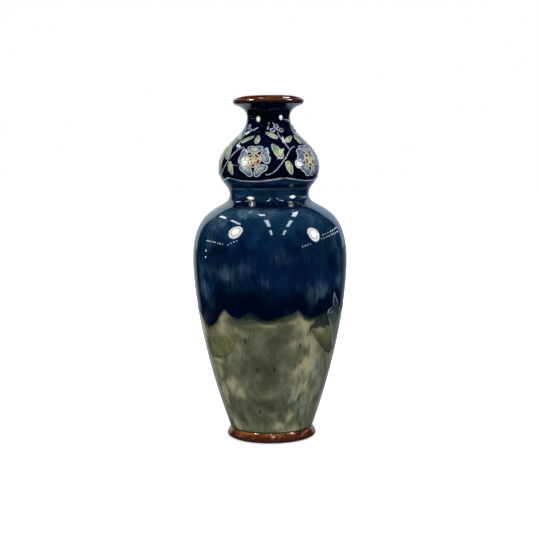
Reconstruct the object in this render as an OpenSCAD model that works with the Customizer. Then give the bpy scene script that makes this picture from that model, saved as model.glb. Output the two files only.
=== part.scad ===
// Stoneware vase, thrown in two sections and decorated with trailed slip
// The section line is drawn once, and every wall and coat of glaze is cut from it.

/* [Thrown form] */
// Width over the foot ring
foot_d = 78.5; // [72:0.5:88]
// Height of the foot ring
foot_h = 9; // [7:0.5:13]
// Depth of the groove turned above the foot ring
groove_in = 3; // [1.5:0.5:4.5]
// Rise from the groove to the widest part of the belly
belly_rise = 149; // [125:1:175]
// Width of the belly
belly_d = 135.5; // [118:0.5:152]
// Rise over the shoulder, from the belly to the waist
shoulder_rise = 57; // [48:1:72]
// Width of the waist
waist_d = 69.5; // [60:0.5:78]
// Rise from the waist to the widest part of the bulb
bulb_rise = 22; // [18:0.5:28]
// Width of the bulb
bulb_d = 87.5; // [82:0.5:100]
// Rise from the bulb to the narrowest part of the neck
neck_rise = 45; // [40:0.5:56]
// Width of the neck
neck_d = 37.5; // [32:0.5:44]
// Rise from the neck to the under edge of the lip
flare_rise = 11; // [8:0.5:15]
// Width over the lip
rim_d = 62; // [57:0.5:70]
// Height of the rolled lip
lip_h = 7; // [5.5:0.5:9]
// Width across the crest of the lip
mouth_d = 40; // [35:0.5:45]

/* [Clay and glaze] */
// Thickness of the thrown wall with its glaze
wall = 5; // [4:0.25:6.5]
// Thickness of the floor with its glaze
floor_t = 8; // [6.5:0.5:12]
// Width of the hollow under the foot
bore_d = 56; // [48:1:60]
// Depth of the hollow under the foot
recess = 3; // [1.5:0.5:5]
// Thickness of a coat of glaze
coat = 0.5; // [0.35:0.05:0.8]
// Height at which the blue glaze ends over the green
glaze_line_h = 112; // [90:1:130]
// Depth of the scallops along the end of the blue glaze
drip_h = 10; // [4:0.5:14]
// Thickness of the olive runs over the green glaze
run_t = 0.35; // [0.2:0.05:0.6]

/* [Slip trailed frieze] */
// Flowers around the bulb
repeats = 5; // [4:1:6]
// Width of a flower
flower_d = 29; // [24:0.5:30]
// Distance along the surface from the widest part of the bulb up to the flowers
flower_lift = 8; // [5:0.5:11]
// Width of a trailed line
trail_w = 1.2; // [0.8:0.05:1.3]
// Height of a trailed line
trail_h = 0.7; // [0.4:0.05:1]
// Thickness of the coloured glaze inside the trailed lines
fill_t = 0.35; // [0.2:0.05:0.5]
// Depth of the swags along the border line
swag_h = 3; // [1:0.25:4]
// Distance from the flowers down to the border line
border_gap = 4; // [3:0.25:6]

/* [Hidden] */
$fn = 96;

// Radii and heights of the section's own points, from the table up
foot_r = foot_d / 2;
groove_r = foot_r - groove_in;
belly_r = belly_d / 2;
waist_r = waist_d / 2;
bulb_r = bulb_d / 2;
neck_r = neck_d / 2;
rim_r = rim_d / 2;
mouth_r = mouth_d / 2;
groove_z = foot_h;
belly_z = groove_z + belly_rise;
waist_z = belly_z + shoulder_rise;
bulb_z = waist_z + bulb_rise;
neck_z = bulb_z + neck_rise;
flare_z = neck_z + flare_rise;
top_z = flare_z + lip_h;

// Bare clay under the foot, the lip's under edge and the curve where the wall meets the floor
seat_in = 6;
bare_h = 0.8;
lip_edge = 1;
floor_curve = 11;
flare_r = rim_r - lip_edge;
floor_z = recess + floor_t;

// Degrees by which the wall leaves the groove and by which the flare meets the lip
wall_lean = 20;
flare_lean = 24;

// Pull of each curve at its lower and upper end, as shares of its rise
belly_shares = [0.52, 0.14];
shoulder_shares = [0.915, 0.25];
bulb_shares = [0.39, 0.57];
collar_shares = [0.52, 0.41];
flare_shares = [0.68, 0.42];
foot_shares = [0.33, 0.45];
lip_shares = [0.43, 0.22];
throat_shares = [0.6, 0.5];

// Steps along the curves of the section
foot_steps = 6;
belly_steps = 14;
shoulder_steps = 18;
bulb_steps = 10;
collar_steps = 16;
flare_steps = 8;
lip_steps = 6;
throat_steps = 9;
floor_steps = 5;

// Points of a curve drawn between a and d with pulls b and c, without its last point
function bend(a, b, c, d, steps) =
    [for (i = [0:steps - 1])
        let (t = i / steps, u = 1 - t)
        u * u * u * a + 3 * u * u * t * b + 3 * u * t * t * c + t * t * t * d];

// A curve that is upright at both of its ends
function upright(a, d, shares, steps) =
    let (rise = d[1] - a[1])
    bend(a, a + [0, shares[0] * rise], d - [0, shares[1] * rise], d, steps);

// Direction along a line of points at its point i
function unit(v) = v / norm(v);
function heading(line, i) =
    let (n = len(line), before = line[max(i - 1, 0)], after = line[min(i + 1, n - 1)], at = line[i])
    unit((i > 0 ? unit(at - before) : [0, 0]) + (i < n - 1 ? unit(after - at) : [0, 0]));

// The way out of the clay at point i of a line that has its clay on the left
function outward(line, i) =
    let (way = heading(line, i))
    [way[1], -way[0]];
function sunk(line, i, depth) = line[i] - depth * outward(line, i);
function reversed(list) = [for (i = [len(list) - 1:-1:0]) list[i]];

// The same line sunk by a depth, with its ends given
function under(line, depth, first, last) =
    concat([first], [for (i = [1:len(line) - 2]) sunk(line, i, depth)], [last]);

// Outside of the vase in four stretches: foot, lower body, upper body and lip
groove = [groove_r, groove_z];
waist = [waist_r, waist_z];
flare = [flare_r, flare_z];
crest = [mouth_r, top_z];
seat_r = foot_r - seat_in;
foot_wide_z = foot_shares[0] * foot_h;
lip_wide_z = flare_z + lip_shares[0] * lip_h;
foot_curve = concat(
    bend([seat_r, 0], [(seat_r + foot_r) / 2, 0],
         [foot_r, foot_shares[1] * foot_wide_z], [foot_r, foot_wide_z], foot_steps),
    bend([foot_r, foot_wide_z], [foot_r, foot_wide_z + foot_shares[1] * foot_wide_z],
         groove + foot_shares[1] * [1, -1] * groove_in / 2, groove, foot_steps),
    [groove]);
foot_line = [for (p = foot_curve) if (p[1] > bare_h) p];
lower_line = concat(
    bend(groove, groove + belly_shares[0] * belly_rise * [sin(wall_lean), cos(wall_lean)],
         [belly_r, belly_z - belly_shares[1] * belly_rise], [belly_r, belly_z], belly_steps),
    upright([belly_r, belly_z], waist, shoulder_shares, shoulder_steps),
    [waist]);
upper_line = concat(
    upright(waist, [bulb_r, bulb_z], bulb_shares, bulb_steps),
    upright([bulb_r, bulb_z], [neck_r, neck_z], collar_shares, collar_steps),
    bend([neck_r, neck_z], [neck_r, neck_z + flare_shares[0] * flare_rise],
         flare - flare_shares[1] * flare_rise * [cos(flare_lean), sin(flare_lean)],
         flare, flare_steps),
    [flare]);
lip_wide = [rim_r, lip_wide_z];
lip_line = concat(
    bend(flare, flare + [lip_edge, lip_edge] / 2, lip_wide - [0, lip_edge], lip_wide, lip_steps),
    bend(lip_wide, lip_wide + [0, lip_shares[0] * (top_z - lip_wide_z)],
         crest + [lip_shares[1] * (rim_r - mouth_r), 0], crest, lip_steps),
    [crest]);

// Inside of the vase, from the crest down the throat to the middle of the floor
throat = [neck_r - wall, neck_z];
waist_in = [waist_r - wall, waist_z];
inner_upper_line = concat(
    bend(crest, crest - [throat_shares[0] * (mouth_r - throat[0]), 0],
         throat + [0, throat_shares[1] * (top_z - neck_z)], throat, throat_steps),
    [throat],
    [for (i = [len(upper_line) - 2:-1:1])
        if (upper_line[i][1] < neck_z) sunk(upper_line, i, wall)],
    [waist_in]);
inner_wall = concat(
    [waist_in],
    [for (i = [len(lower_line) - 2:-1:1])
        let (p = sunk(lower_line, i, wall))
        if (p[1] > floor_z + floor_curve) p]);
wall_end = inner_wall[len(inner_wall) - 1];
wall_way = heading(inner_wall, len(inner_wall) - 1);
floor_rim = [wall_end[0] - floor_curve * 2, floor_z];
inner_lower_line = concat(
    inner_wall,
    [for (i = [1:floor_steps])
        bend(wall_end, wall_end + wall_way * floor_curve / 2,
             floor_rim + [floor_curve, 0], floor_rim, floor_steps + 1)[i]],
    [floor_rim, [0, floor_z]]);

// The clay's own surface, one coat of glaze under the finished one
groove_under = groove - [coat, 0];
waist_under = waist - [coat, 0];
flare_under = flare + [-coat, coat];
crest_under = crest - [0, coat];
foot_under = under(foot_line, coat, sunk(foot_line, 0, coat), groove_under);
lower_under = under(lower_line, coat, groove_under, waist_under);
upper_under = under(upper_line, coat, waist_under, flare_under);
lip_under = under(lip_line, coat, flare_under, crest_under);
inner_upper_under = under(inner_upper_line, coat, crest_under, waist_in + [coat, 0]);
inner_lower_under = under(inner_lower_line, coat, waist_in + [coat, 0], [0, floor_z - coat]);

// The lip is a coil of its own, down to this step of the throat
lip_join = 4;

// Distance along the outside from the groove to each point, for laying work on the surface
outside = concat(lower_line, [for (i = [1:len(upper_line) - 1]) upper_line[i]]);
travel = [for (i = 0, s = 0; i < len(outside);
               s = s + (i + 1 < len(outside) ? norm(outside[i + 1] - outside[i]) : 0), i = i + 1) s];
radius_table = [for (i = [0:len(outside) - 1]) [travel[i], outside[i][0]]];
height_table = [for (i = [0:len(outside) - 1]) [travel[i], outside[i][1]]];
travel_table = [for (i = [0:len(outside) - 1]) [outside[i][1], travel[i]]];
lean_table = [for (i = [0:len(outside) - 1])
    let (way = outward(outside, i))
    [travel[i], atan2(way[1], way[0])]];
full_turn = 360;
function wrapped(turn) = turn - full_turn * round(turn / full_turn);
function radius_at(s) = lookup(s, radius_table);
function degrees_per_length(s) = full_turn / (2 * PI * radius_at(s));

// A chart point is [degrees around from the front, distance up the outside]
function on_chart(centre, p) =
    let (s = centre[1] + p[1])
    [centre[0] + p[0] * degrees_per_length(s), s];
function on_vase(chart, lift) =
    let (s = chart[1], lean = lookup(s, lean_table), r = radius_at(s) + lift * cos(lean))
    [r * sin(chart[0]), -r * cos(chart[0]), lookup(s, height_table) + lift * sin(lean)];

// Slip work lies this far off the glaze, so that its flat facets stay clear of the round wall
seat_gap = 0.12;
fine_share = 0.8;
trail_top_share = 0.5;
sharpest_share = 0.3;

// Several closed shells, each [points, faces], joined into one list
function joined(shells) =
    let (starts = [for (i = 0, t = 0; i < len(shells); t = t + len(shells[i][0]), i = i + 1) t])
    [[for (shell = shells) each shell[0]],
     [for (i = [0:len(shells) - 1]) for (face = shells[i][1]) [for (v = face) v + starts[i]]]];
module shells(list) {
    solid = joined(list);
    polyhedron(points = solid[0], faces = solid[1], convexity = 4);
}

// A trailed line along chart points: flat below, narrower above
function trail(path, width, height, closed = false, seat = seat_gap) =
    let (n = len(path),
         section = [for (i = [0:n - 1])
             let (before = closed ? path[(i + n - 1) % n] : path[max(i - 1, 0)],
                  after = closed ? path[(i + 1) % n] : path[min(i + 1, n - 1)],
                  turn = degrees_per_length(path[i][1]),
                  way = unit([wrapped(after[0] - before[0]) / turn, after[1] - before[1]]),
                  side = [-way[1] * turn, way[0]] * width / 2)
             [on_vase(path[i] + side, seat),
              on_vase(path[i] + side * trail_top_share, seat + height),
              on_vase(path[i] - side * trail_top_share, seat + height),
              on_vase(path[i] - side, seat)]],
         spans = closed ? n : n - 1,
         last = 4 * (n - 1))
    [[for (four = section) each four],
     concat(
         [for (i = [0:spans - 1]) for (j = [0:3])
             let (p = 4 * i, q = 4 * ((i + 1) % n), k = (j + 1) % 4)
             each [[p + j, q + j, q + k], [p + j, q + k, p + k]]],
         closed ? [] : [[0, 1, 2], [0, 2, 3], [last + 2, last + 1, last], [last + 3, last + 2, last]])];

// A closed outline drawn in by a depth, with its corners kept true
function drawn_in(outline, depth) =
    let (n = len(outline))
    [for (i = [0:n - 1])
        let (one = unit(outline[i] - outline[(i + n - 1) % n]),
             two = unit(outline[(i + 1) % n] - outline[i]),
             in_one = [-one[1], one[0]],
             in_two = [-two[1], two[0]])
        outline[i] + depth * (in_one + in_two) / max(1 + in_one * in_two, sharpest_share)];

// A pad of glaze inside an outline, lens shaped, with a ring half way to its middle
function pad(outline, middle, centre, thick) =
    let (n = len(outline),
         edge = [for (p = outline) on_vase(on_chart(centre, p), seat_gap)],
         ring = [for (p = outline) on_chart(centre, (p + middle) / 2)],
         heart = on_chart(centre, middle),
         c = 3 * n)
    [concat(edge, [for (p = ring) on_vase(p, seat_gap + thick)], [for (p = ring) on_vase(p, seat_gap)],
            [on_vase(heart, seat_gap + thick), on_vase(heart, seat_gap)]),
     [for (i = [0:n - 1])
        let (k = (i + 1) % n, t = n + i, u = n + k, a = 2 * n + i, b = 2 * n + k)
        each [[c, u, t], [t, u, k], [t, k, i], [c + 1, a, b], [a, k, b], [a, i, k]]]];

// A small pad without the ring
function dab(outline, middle, centre, thick) =
    let (n = len(outline))
    [concat([for (p = outline) on_vase(on_chart(centre, p), seat_gap + thick / 3)],
            [on_vase(on_chart(centre, middle), seat_gap + thick),
             on_vase(on_chart(centre, middle), seat_gap)]),
     [for (i = [0:n - 1])
        let (k = (i + 1) % n)
        each [[n, k, i], [n + 1, i, k]]]];

// Outlines in real lengths, around the middle of their own motif
function mean_point(outline) = [for (p = outline) 1] * outline / len(outline);
function turned(p, angle) = [p[0] * cos(angle) - p[1] * sin(angle), p[0] * sin(angle) + p[1] * cos(angle)];
function oval(near, far, half_w, fan, notch, angle, steps) =
    [for (i = [0:steps - 1])
        let (t = full_turn * i / steps)
        turned([(near + far) / 2 + (far - near) / 2 * cos(t) - (i == 0 ? notch : 0),
                half_w * sin(t) * (1 + fan * cos(t))], angle)];
function shifted(outline, by) = [for (p = outline) p + by];
function laid(outline, centre) = [for (p = outline) on_chart(centre, p)];

// Places of the flowers, and of the gaps between them, on the chart
flower_r = flower_d / 2;
line_r = flower_r - trail_w / 2;
first_flower = -18;
pitch = full_turn / repeats;
bulb_s = lookup(bulb_z, travel_table);
flower_s = bulb_s + flower_lift;
flower_centres = [for (k = [0:repeats - 1]) [first_flower + pitch * k, flower_s]];
gap_centres = [for (k = [0:repeats - 1]) [first_flower + pitch * (k + 0.5), flower_s]];

// Five broad notched petals around five small ones, as shares of the flower's radius
petal_count = 5;
petal_shares = [0.48, 1, 0.44];
petal_fan_share = 0.35;
notch_share = 0.08;
heart_shares = [0.2, 0.43, 0.17];
heart_fan_share = 0.25;
eye_share = 0.115;
petal_steps = 12;
heart_steps = 8;
eye_steps = 8;
function petal_outlines() =
    [for (k = [0:petal_count - 1])
        oval(petal_shares[0] * line_r, petal_shares[1] * line_r, petal_shares[2] * line_r,
             petal_fan_share, notch_share * line_r, 90 + full_turn / petal_count * k, petal_steps)];
function heart_outlines() =
    [for (k = [0:petal_count - 1])
        oval(heart_shares[0] * line_r, heart_shares[1] * line_r, heart_shares[2] * line_r,
             heart_fan_share, 0, 90 + full_turn / petal_count * (k + 0.5), heart_steps)];
function eye_outline() =
    oval(-eye_share * line_r, eye_share * line_r, eye_share * line_r, 0, 0, 0, eye_steps);

// Leaves: base across and up, angle in turns, length, all as shares of the flower's radius
leaf_gap_shares = [[-0.15, 0.1, 0.311, 1.0], [0.15, -0.1, -0.189, 0.74],
                   [-0.13, 1.6, 0.39, 0.66], [0.34, 1.28, 0.11, 0.66]];
leaf_top_shares = [[0, 1.16, 0.25, 0.58]];
leaf_width_share = 0.21;
leaf_fan_share = -0.2;
rib_shares = [0.25, 0.5, 0.75];
leaf_steps = 8;
function leaf_outline(place) =
    shifted(oval(0, place[3] * flower_r, leaf_width_share * place[3] * flower_r,
                 leaf_fan_share, 0, full_turn * place[2], leaf_steps),
            [place[0], place[1]] * flower_r);
leaf_places = concat([for (centre = gap_centres) for (place = leaf_gap_shares) [centre, place]],
                     [for (centre = flower_centres) for (place = leaf_top_shares) [centre, place]]);
function leaf_rib(place) =
    [for (share = rib_shares)
        turned([share * place[3] * flower_r, 0], full_turn * place[2]) + [place[0], place[1]] * flower_r];

// Berries at the tip of each sprig, as shares of the flower's radius
berry_shares = [[0, 2.5], [-0.27, 2.22], [0.27, 2.22]];
berry_share = 0.125;
berry_steps = 6;
function berry_outline(place) =
    shifted(oval(-berry_share * flower_r, berry_share * flower_r, berry_share * flower_r, 0, 0, 0, berry_steps),
            place * flower_r);

// The vine runs from the lower right of one flower to the upper left of the next
stem_angle = 50;
stem_pull_shares = [0.17, 0.95];
stem_steps = 12;
sprig_shares = [[0.42, 0.66], [0.36, 1.0], [0.05, 1.3], [0, 2.12]];
sprig_steps = 6;
stem_reach = flower_r + trail_w * 1.5;
function stem_path(k) =
    let (from = on_chart(flower_centres[k], stem_reach * [cos(stem_angle), -sin(stem_angle)]),
         to = on_chart(flower_centres[k] + [pitch, 0], stem_reach * [-cos(stem_angle), sin(stem_angle)]),
         middle = gap_centres[k],
         pull = [stem_pull_shares[0] * pitch / 2, stem_pull_shares[1] * flower_r])
    concat(bend(from, middle - pull, middle + pull, to, stem_steps), [to]);
function sprig_path(k) =
    let (p = [for (share = sprig_shares) share * flower_r])
    laid(concat(bend(p[0], p[1], p[2], p[3], sprig_steps), [p[3]]), gap_centres[k]);

// Height of the swagged border line and of the end of the blue glaze, all around
swag_steps = 12;
border_s = flower_s - flower_r - border_gap;
border_z = lookup(border_s, height_table);
function swag_z(i) = border_z + swag_h * (1 - sin(180 * (i % swag_steps) / swag_steps));
function swag_turn(i) = first_flower + pitch * (i / swag_steps - 0.5);
border_heights = [for (i = [0:repeats * swag_steps - 1]) swag_z(i)];
border_turns = [for (i = [0:repeats * swag_steps - 1]) swag_turn(i)];

// Scallops of the blue glaze: start in turns, cusp and hang as shares of the drip depth
drip_shares = [[0.035, 0.25, 0.3], [0.069, 0.76, 0.17], [0.128, 0.1, -1.0], [0.16, 0.5, -0.3],
               [0.222, 0.62, -0.6], [0.31, 0.4, 0.1], [0.39, 0.7, -0.4], [0.49, 0.3, 0],
               [0.56, 0.66, -0.9], [0.655, 0.5, 0.1], [0.72, 0.4, -0.2], [0.778, 0.6, -0.85],
               [0.883, 0.67, 0.09], [0.948, 0.42, 0.02], [1.035, 0.25, 0.3]];
drip_count = len(drip_shares) - 1;
glaze_steps = 90;
function drip_index(t) = [for (i = [0:drip_count - 1]) if (t >= drip_shares[i][0] && t < drip_shares[i + 1][0]) i][0];
function drip_z(turn) =
    let (share = turn / full_turn,
         t = share < drip_shares[0][0] ? share + 1 : share,
         i = drip_index(t),
         from = drip_shares[i],
         to = drip_shares[i + 1],
         u = (t - from[0]) / (to[0] - from[0]),
         cusp = from[1] + (to[1] - from[1]) * u,
         sag = (from[1] + to[1]) / 2 - from[2])
    glaze_line_h + drip_h * (cusp - sag * sin(180 * u));
drip_turns = [for (i = [0:glaze_steps - 1]) full_turn * i / glaze_steps];
drip_heights = [for (turn = drip_turns) drip_z(turn)];

// A block that fills everything below a wavy line around the vase
module below_line(turns, heights) {
    n = len(turns);
    low = -foot_h;
    rings = [waist_r / 2, belly_d];
    mean = heights * [for (h = heights) 1] / n;
    function ring(r, zs) = [for (i = [0:n - 1]) [r * sin(turns[i]), -r * cos(turns[i]), zs[i]]];
    flat = [for (h = heights) low];
    points = concat(ring(rings[0], heights), ring(rings[1], heights), ring(rings[1], flat),
                    [[0, 0, mean], [0, 0, low]]);
    faces = [for (i = [0:n - 1])
        let (k = (i + 1) % n)
        each [[3 * n, k, i], [i, k, n + k], [i, n + k, n + i],
              [n + i, n + k, 2 * n + k], [n + i, 2 * n + k, 2 * n + i],
              [3 * n + 1, 2 * n + i, 2 * n + k]]];
    polyhedron(points = points, faces = faces, convexity = 4);
}

// A coat of glaze between two lines of the section
module coat_between(outer, inner) {
    rotate_extrude() polygon(concat(outer, reversed(inner)));
}

// Runs of thin glaze below the scallops: middle and half width in turns, reach in drip depths
run_shares = [[0.857, 0.055, 3.4], [0.152, 0.036, 2.5], [0.45, 0.045, 2.4], [0.66, 0.05, 3]];
run_columns = 8;
run_rows = 5;
run_side_share = 0.15;
run_edge_share = 0.3;
function run_cell(i, j) = i * (run_rows + 1) + j;
function run_point(place, i, j, outer) =
    let (across = 2 * i / run_columns - 1,
         turn = full_turn * (place[0] + place[1] * across),
         round_share = sqrt(1 - across * across),
         drop = place[2] * drip_h * (run_side_share + (1 - run_side_share) * round_share),
         head = drip_z(turn),
         tail = min(glaze_line_h, head) - drop,
         s = lookup(head + (tail - head) * j / run_rows, travel_table),
         rim = i == 0 || i == run_columns || j == 0 || j == run_rows,
         thick = run_t * (rim ? run_edge_share : 1))
    on_vase([turn, s], seat_gap + (outer ? thick : 0));
function run_shell(place) =
    let (n = (run_columns + 1) * (run_rows + 1),
         loop = concat([for (i = [0:run_columns - 1]) run_cell(i, 0)],
                       [for (j = [0:run_rows - 1]) run_cell(run_columns, j)],
                       [for (i = [run_columns:-1:1]) run_cell(i, run_rows)],
                       [for (j = [run_rows:-1:1]) run_cell(0, j)]))
    [[for (outer = [true, false]) for (i = [0:run_columns]) for (j = [0:run_rows])
        run_point(place, i, j, outer)],
     concat(
         [for (i = [0:run_columns - 1]) for (j = [0:run_rows - 1])
             let (a = run_cell(i, j), b = run_cell(i + 1, j), c = b + 1, d = a + 1)
             each [[a, b, c], [a, c, d], [n + c, n + b, n + a], [n + d, n + c, n + a]]],
         [for (i = [0:len(loop) - 1])
             let (a = loop[i], b = loop[(i + 1) % len(loop)])
             each [[b, a, n + a], [b, n + a, n + b]]])];

module lower_body() {
    color("tan")
    rotate_extrude()
    polygon(concat([[0, recess], [bore_d / 2, recess], [bore_d / 2, groove_z]],
                   lower_under, inner_lower_under));
}

module upper_body() {
    color("tan")
    rotate_extrude()
    polygon(concat(upper_under,
                   [for (i = [lip_join:len(inner_upper_under) - 1]) inner_upper_under[i]]));
}

module foot_ring() {
    color("sienna")
    rotate_extrude()
    polygon(concat([[bore_d / 2, 0], [seat_r - coat, 0]], foot_under, [[bore_d / 2, groove_z]]));
}

module rim_ring() {
    color("sienna")
    rotate_extrude()
    polygon(concat(lip_under, [for (i = [1:lip_join]) inner_upper_under[i]]));
}

module foot_glaze() {
    color("saddlebrown") coat_between(foot_line, foot_under);
}

module green_glaze() {
    color("darkkhaki")
    intersection() {
        coat_between(lower_line, lower_under);
        below_line(drip_turns, drip_heights);
    }
}

module blue_glaze() {
    color("midnightblue")
    intersection() {
        difference() {
            coat_between(outside, concat(lower_under, [for (i = [1:len(upper_under) - 1]) upper_under[i]]));
            below_line(drip_turns, drip_heights);
        }
        below_line(border_turns, border_heights);
    }
}

module cobalt_ground() {
    color("navy")
    difference() {
        coat_between(upper_line, upper_under);
        below_line(border_turns, border_heights);
    }
}

module rim_glaze() {
    color("saddlebrown") coat_between(lip_line, lip_under);
}

module inner_glaze() {
    color("wheat")
    rotate_extrude()
    polygon(concat(inner_upper_line, inner_lower_line,
                   reversed(inner_lower_under), reversed(inner_upper_under)));
}

module olive_runs() {
    color("olive") shells([for (place = run_shares) run_shell(place)]);
}

module border_trail() {
    path = [for (i = [0:len(border_turns) - 1]) [border_turns[i], lookup(border_heights[i], travel_table)]];
    color("lavender") shells([trail(path, trail_w, trail_h, closed = true)]);
}

module stem_trails() {
    color("lightsteelblue")
    shells([for (k = [0:repeats - 1]) for (path = [stem_path(k), sprig_path(k)])
        trail(path, trail_w, trail_h)]);
}

module petal_trails() {
    color("white")
    shells([for (centre = flower_centres) for (outline = petal_outlines())
        trail(laid(outline, centre), trail_w, trail_h, closed = true)]);
}

module heart_trails() {
    color("cornsilk")
    shells([for (centre = flower_centres) for (outline = heart_outlines())
        trail(laid(outline, centre), trail_w * fine_share, trail_h, closed = true)]);
}

module eye_trails() {
    color("cornsilk")
    shells([for (centre = flower_centres)
        trail(laid(eye_outline(), centre), trail_w * fine_share, trail_h, closed = true)]);
}

module leaf_trails() {
    color("lightsteelblue")
    shells([for (leaf = leaf_places)
        each [trail(laid(leaf_outline(leaf[1]), leaf[0]), trail_w, trail_h, closed = true),
              trail(laid(leaf_rib(leaf[1]), leaf[0]), trail_w * fine_share, trail_h * fine_share,
                    seat = 2 * seat_gap + fill_t)]]);
}

module berry_trails() {
    color("lightsteelblue")
    shells([for (centre = gap_centres) for (place = berry_shares)
        trail(laid(berry_outline(place), centre), trail_w * fine_share, trail_h, closed = true)]);
}

// Coloured glaze inside the outlines, clear of the trailed lines
function inside_trail(outline, width) = drawn_in(outline, width / 2 + seat_gap);

module petals() {
    color("lightblue")
    shells([for (centre = flower_centres) for (outline = petal_outlines())
        pad(inside_trail(outline, trail_w), mean_point(outline), centre, fill_t)]);
}

module hearts() {
    color("sienna")
    shells([for (centre = flower_centres) for (outline = heart_outlines())
        dab(inside_trail(outline, trail_w * fine_share), mean_point(outline), centre, fill_t)]);
}

module eyes() {
    color("yellowgreen")
    shells([for (centre = flower_centres)
        dab(inside_trail(eye_outline(), trail_w * fine_share), [0, 0], centre, trail_h)]);
}

module leaves() {
    color("yellowgreen")
    shells([for (leaf = leaf_places)
        let (outline = leaf_outline(leaf[1]))
        pad(inside_trail(outline, trail_w), mean_point(outline), leaf[0], fill_t)]);
}

module berries() {
    color("steelblue")
    shells([for (centre = gap_centres) for (place = berry_shares)
        dab(inside_trail(berry_outline(place), trail_w * fine_share), place * flower_r, centre, trail_h)]);
}

lower_body();
upper_body();
foot_ring();
rim_ring();
foot_glaze();
green_glaze();
olive_runs();
blue_glaze();
cobalt_ground();
rim_glaze();
inner_glaze();
border_trail();
stem_trails();
petal_trails();
heart_trails();
eye_trails();
leaf_trails();
berry_trails();
petals();
hearts();
eyes();
leaves();
berries();
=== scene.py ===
"""Stoneware vase: coats of glaze, a slip-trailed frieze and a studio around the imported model.

Every coat, trailed line and pad of glaze is drawn on a flat chart (around the vase, up its outside, out of
the glaze) and then laid on the section line of the thrown form by Geometry Nodes.
"""
import math
from functools import partialmethod

import bpy
import numpy as np
from bpy.props import FloatProperty, FloatVectorProperty, IntProperty, PointerProperty
from mathutils import Matrix, Vector


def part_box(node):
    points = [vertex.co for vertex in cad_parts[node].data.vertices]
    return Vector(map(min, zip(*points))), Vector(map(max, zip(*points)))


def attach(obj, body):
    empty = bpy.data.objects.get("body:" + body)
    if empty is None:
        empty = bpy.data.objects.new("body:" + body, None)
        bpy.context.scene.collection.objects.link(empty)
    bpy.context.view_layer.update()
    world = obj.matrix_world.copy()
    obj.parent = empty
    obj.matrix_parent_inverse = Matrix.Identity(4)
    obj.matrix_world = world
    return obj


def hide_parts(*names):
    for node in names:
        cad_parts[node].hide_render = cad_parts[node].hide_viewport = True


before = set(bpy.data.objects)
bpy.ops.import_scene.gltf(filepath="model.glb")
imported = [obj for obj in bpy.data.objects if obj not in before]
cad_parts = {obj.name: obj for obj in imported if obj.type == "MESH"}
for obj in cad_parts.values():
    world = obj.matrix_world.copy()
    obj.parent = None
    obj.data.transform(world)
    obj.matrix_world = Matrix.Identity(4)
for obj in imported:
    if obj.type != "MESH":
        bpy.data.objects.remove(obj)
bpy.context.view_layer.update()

bl_info = {
    "name": "Stoneware vase",
    "version": (1, 0, 0),
    "blender": (4, 5, 0),
    "location": "View3D > Sidebar > Vase",
    "description": "Glaze coats, slip-trailed frieze and studio for a thrown stoneware vase",
    "category": "Add Mesh",
}

MM = 0.001
FULL_TURN = 2 * math.pi


def display(red, green, blue):
    """A colour as a screen shows it, 0 to 255, as the linear values that a shader takes."""
    parts = [value / 255 for value in (red, green, blue)]
    return tuple(p / 12.92 if p <= 0.04045 else ((p + 0.055) / 1.055) ** 2.4 for p in parts)


def number(name, description, default, **kind):
    return FloatProperty(name=name, description=description, default=default, **kind)


def length(name, description, default):
    return number(name, description, default, unit="LENGTH", precision=5)


def angle(name, description, degrees):
    return number(name, description, math.radians(degrees), subtype="ANGLE")


def colour(name, description, default):
    return FloatVectorProperty(name=name, description=description, default=default, subtype="COLOR", min=0, max=1)


def tone(name, description, *screen):
    return colour(name, description, display(*screen))


def cad_radius(node):
    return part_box(node)[1].x


class VaseForm(bpy.types.PropertyGroup):
    """Sizes of the thrown form, from the foot up"""
    foot_radius: length("Foot radius", "Half the width over the foot ring", cad_radius("foot_glaze"))
    foot_height: length("Foot height", "Height of the foot ring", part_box("foot_glaze")[1].z)
    groove_depth: length("Groove depth", "Depth of the groove turned above the foot ring", 0.003)
    seat_inset: length("Seat inset", "From the widest part of the foot to the flat seat", 0.006)
    belly_radius: length("Belly radius", "Half the width of the belly", cad_radius("blue_glaze"))
    belly_rise: length("Belly rise", "From the groove to the widest part of the belly", 0.149)
    shoulder_rise: length("Shoulder rise", "From the belly to the waist", 0.057)
    waist_radius: length("Waist radius", "Half the width of the waist", 0.03475)
    bulb_radius: length("Bulb radius", "Half the width of the bulb", cad_radius("cobalt_ground"))
    bulb_rise: length("Bulb rise", "From the waist to the widest part of the bulb", 0.022)
    neck_radius: length("Neck radius", "Half the width of the neck", 0.01875)
    neck_rise: length("Neck rise", "From the bulb to the narrowest part of the neck", 0.045)
    flare_rise: length("Flare rise", "From the neck to the under edge of the lip", 0.011)
    lip_radius: length("Lip radius", "Half the width over the lip", cad_radius("rim_glaze"))
    lip_edge: length("Lip edge", "How far the flare ends inside the widest part of the lip", 0.001)
    mouth_radius: length("Mouth radius", "Half the width across the crest of the lip", 0.02)
    height: length("Height", "Height of the vase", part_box("rim_glaze")[1].z)
    wall: length("Wall", "Thickness of the thrown wall with its glaze", 0.005)
    floor_height: length("Floor height", "Height of the floor inside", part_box("inner_glaze")[0].z + 0.0005)
    coat: length("Coat", "Thickness of a coat of glaze", 0.0005)
    unevenness: length("Unevenness", "How far the thrown and glazed surface wanders from a true round", 0.00005)


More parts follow.
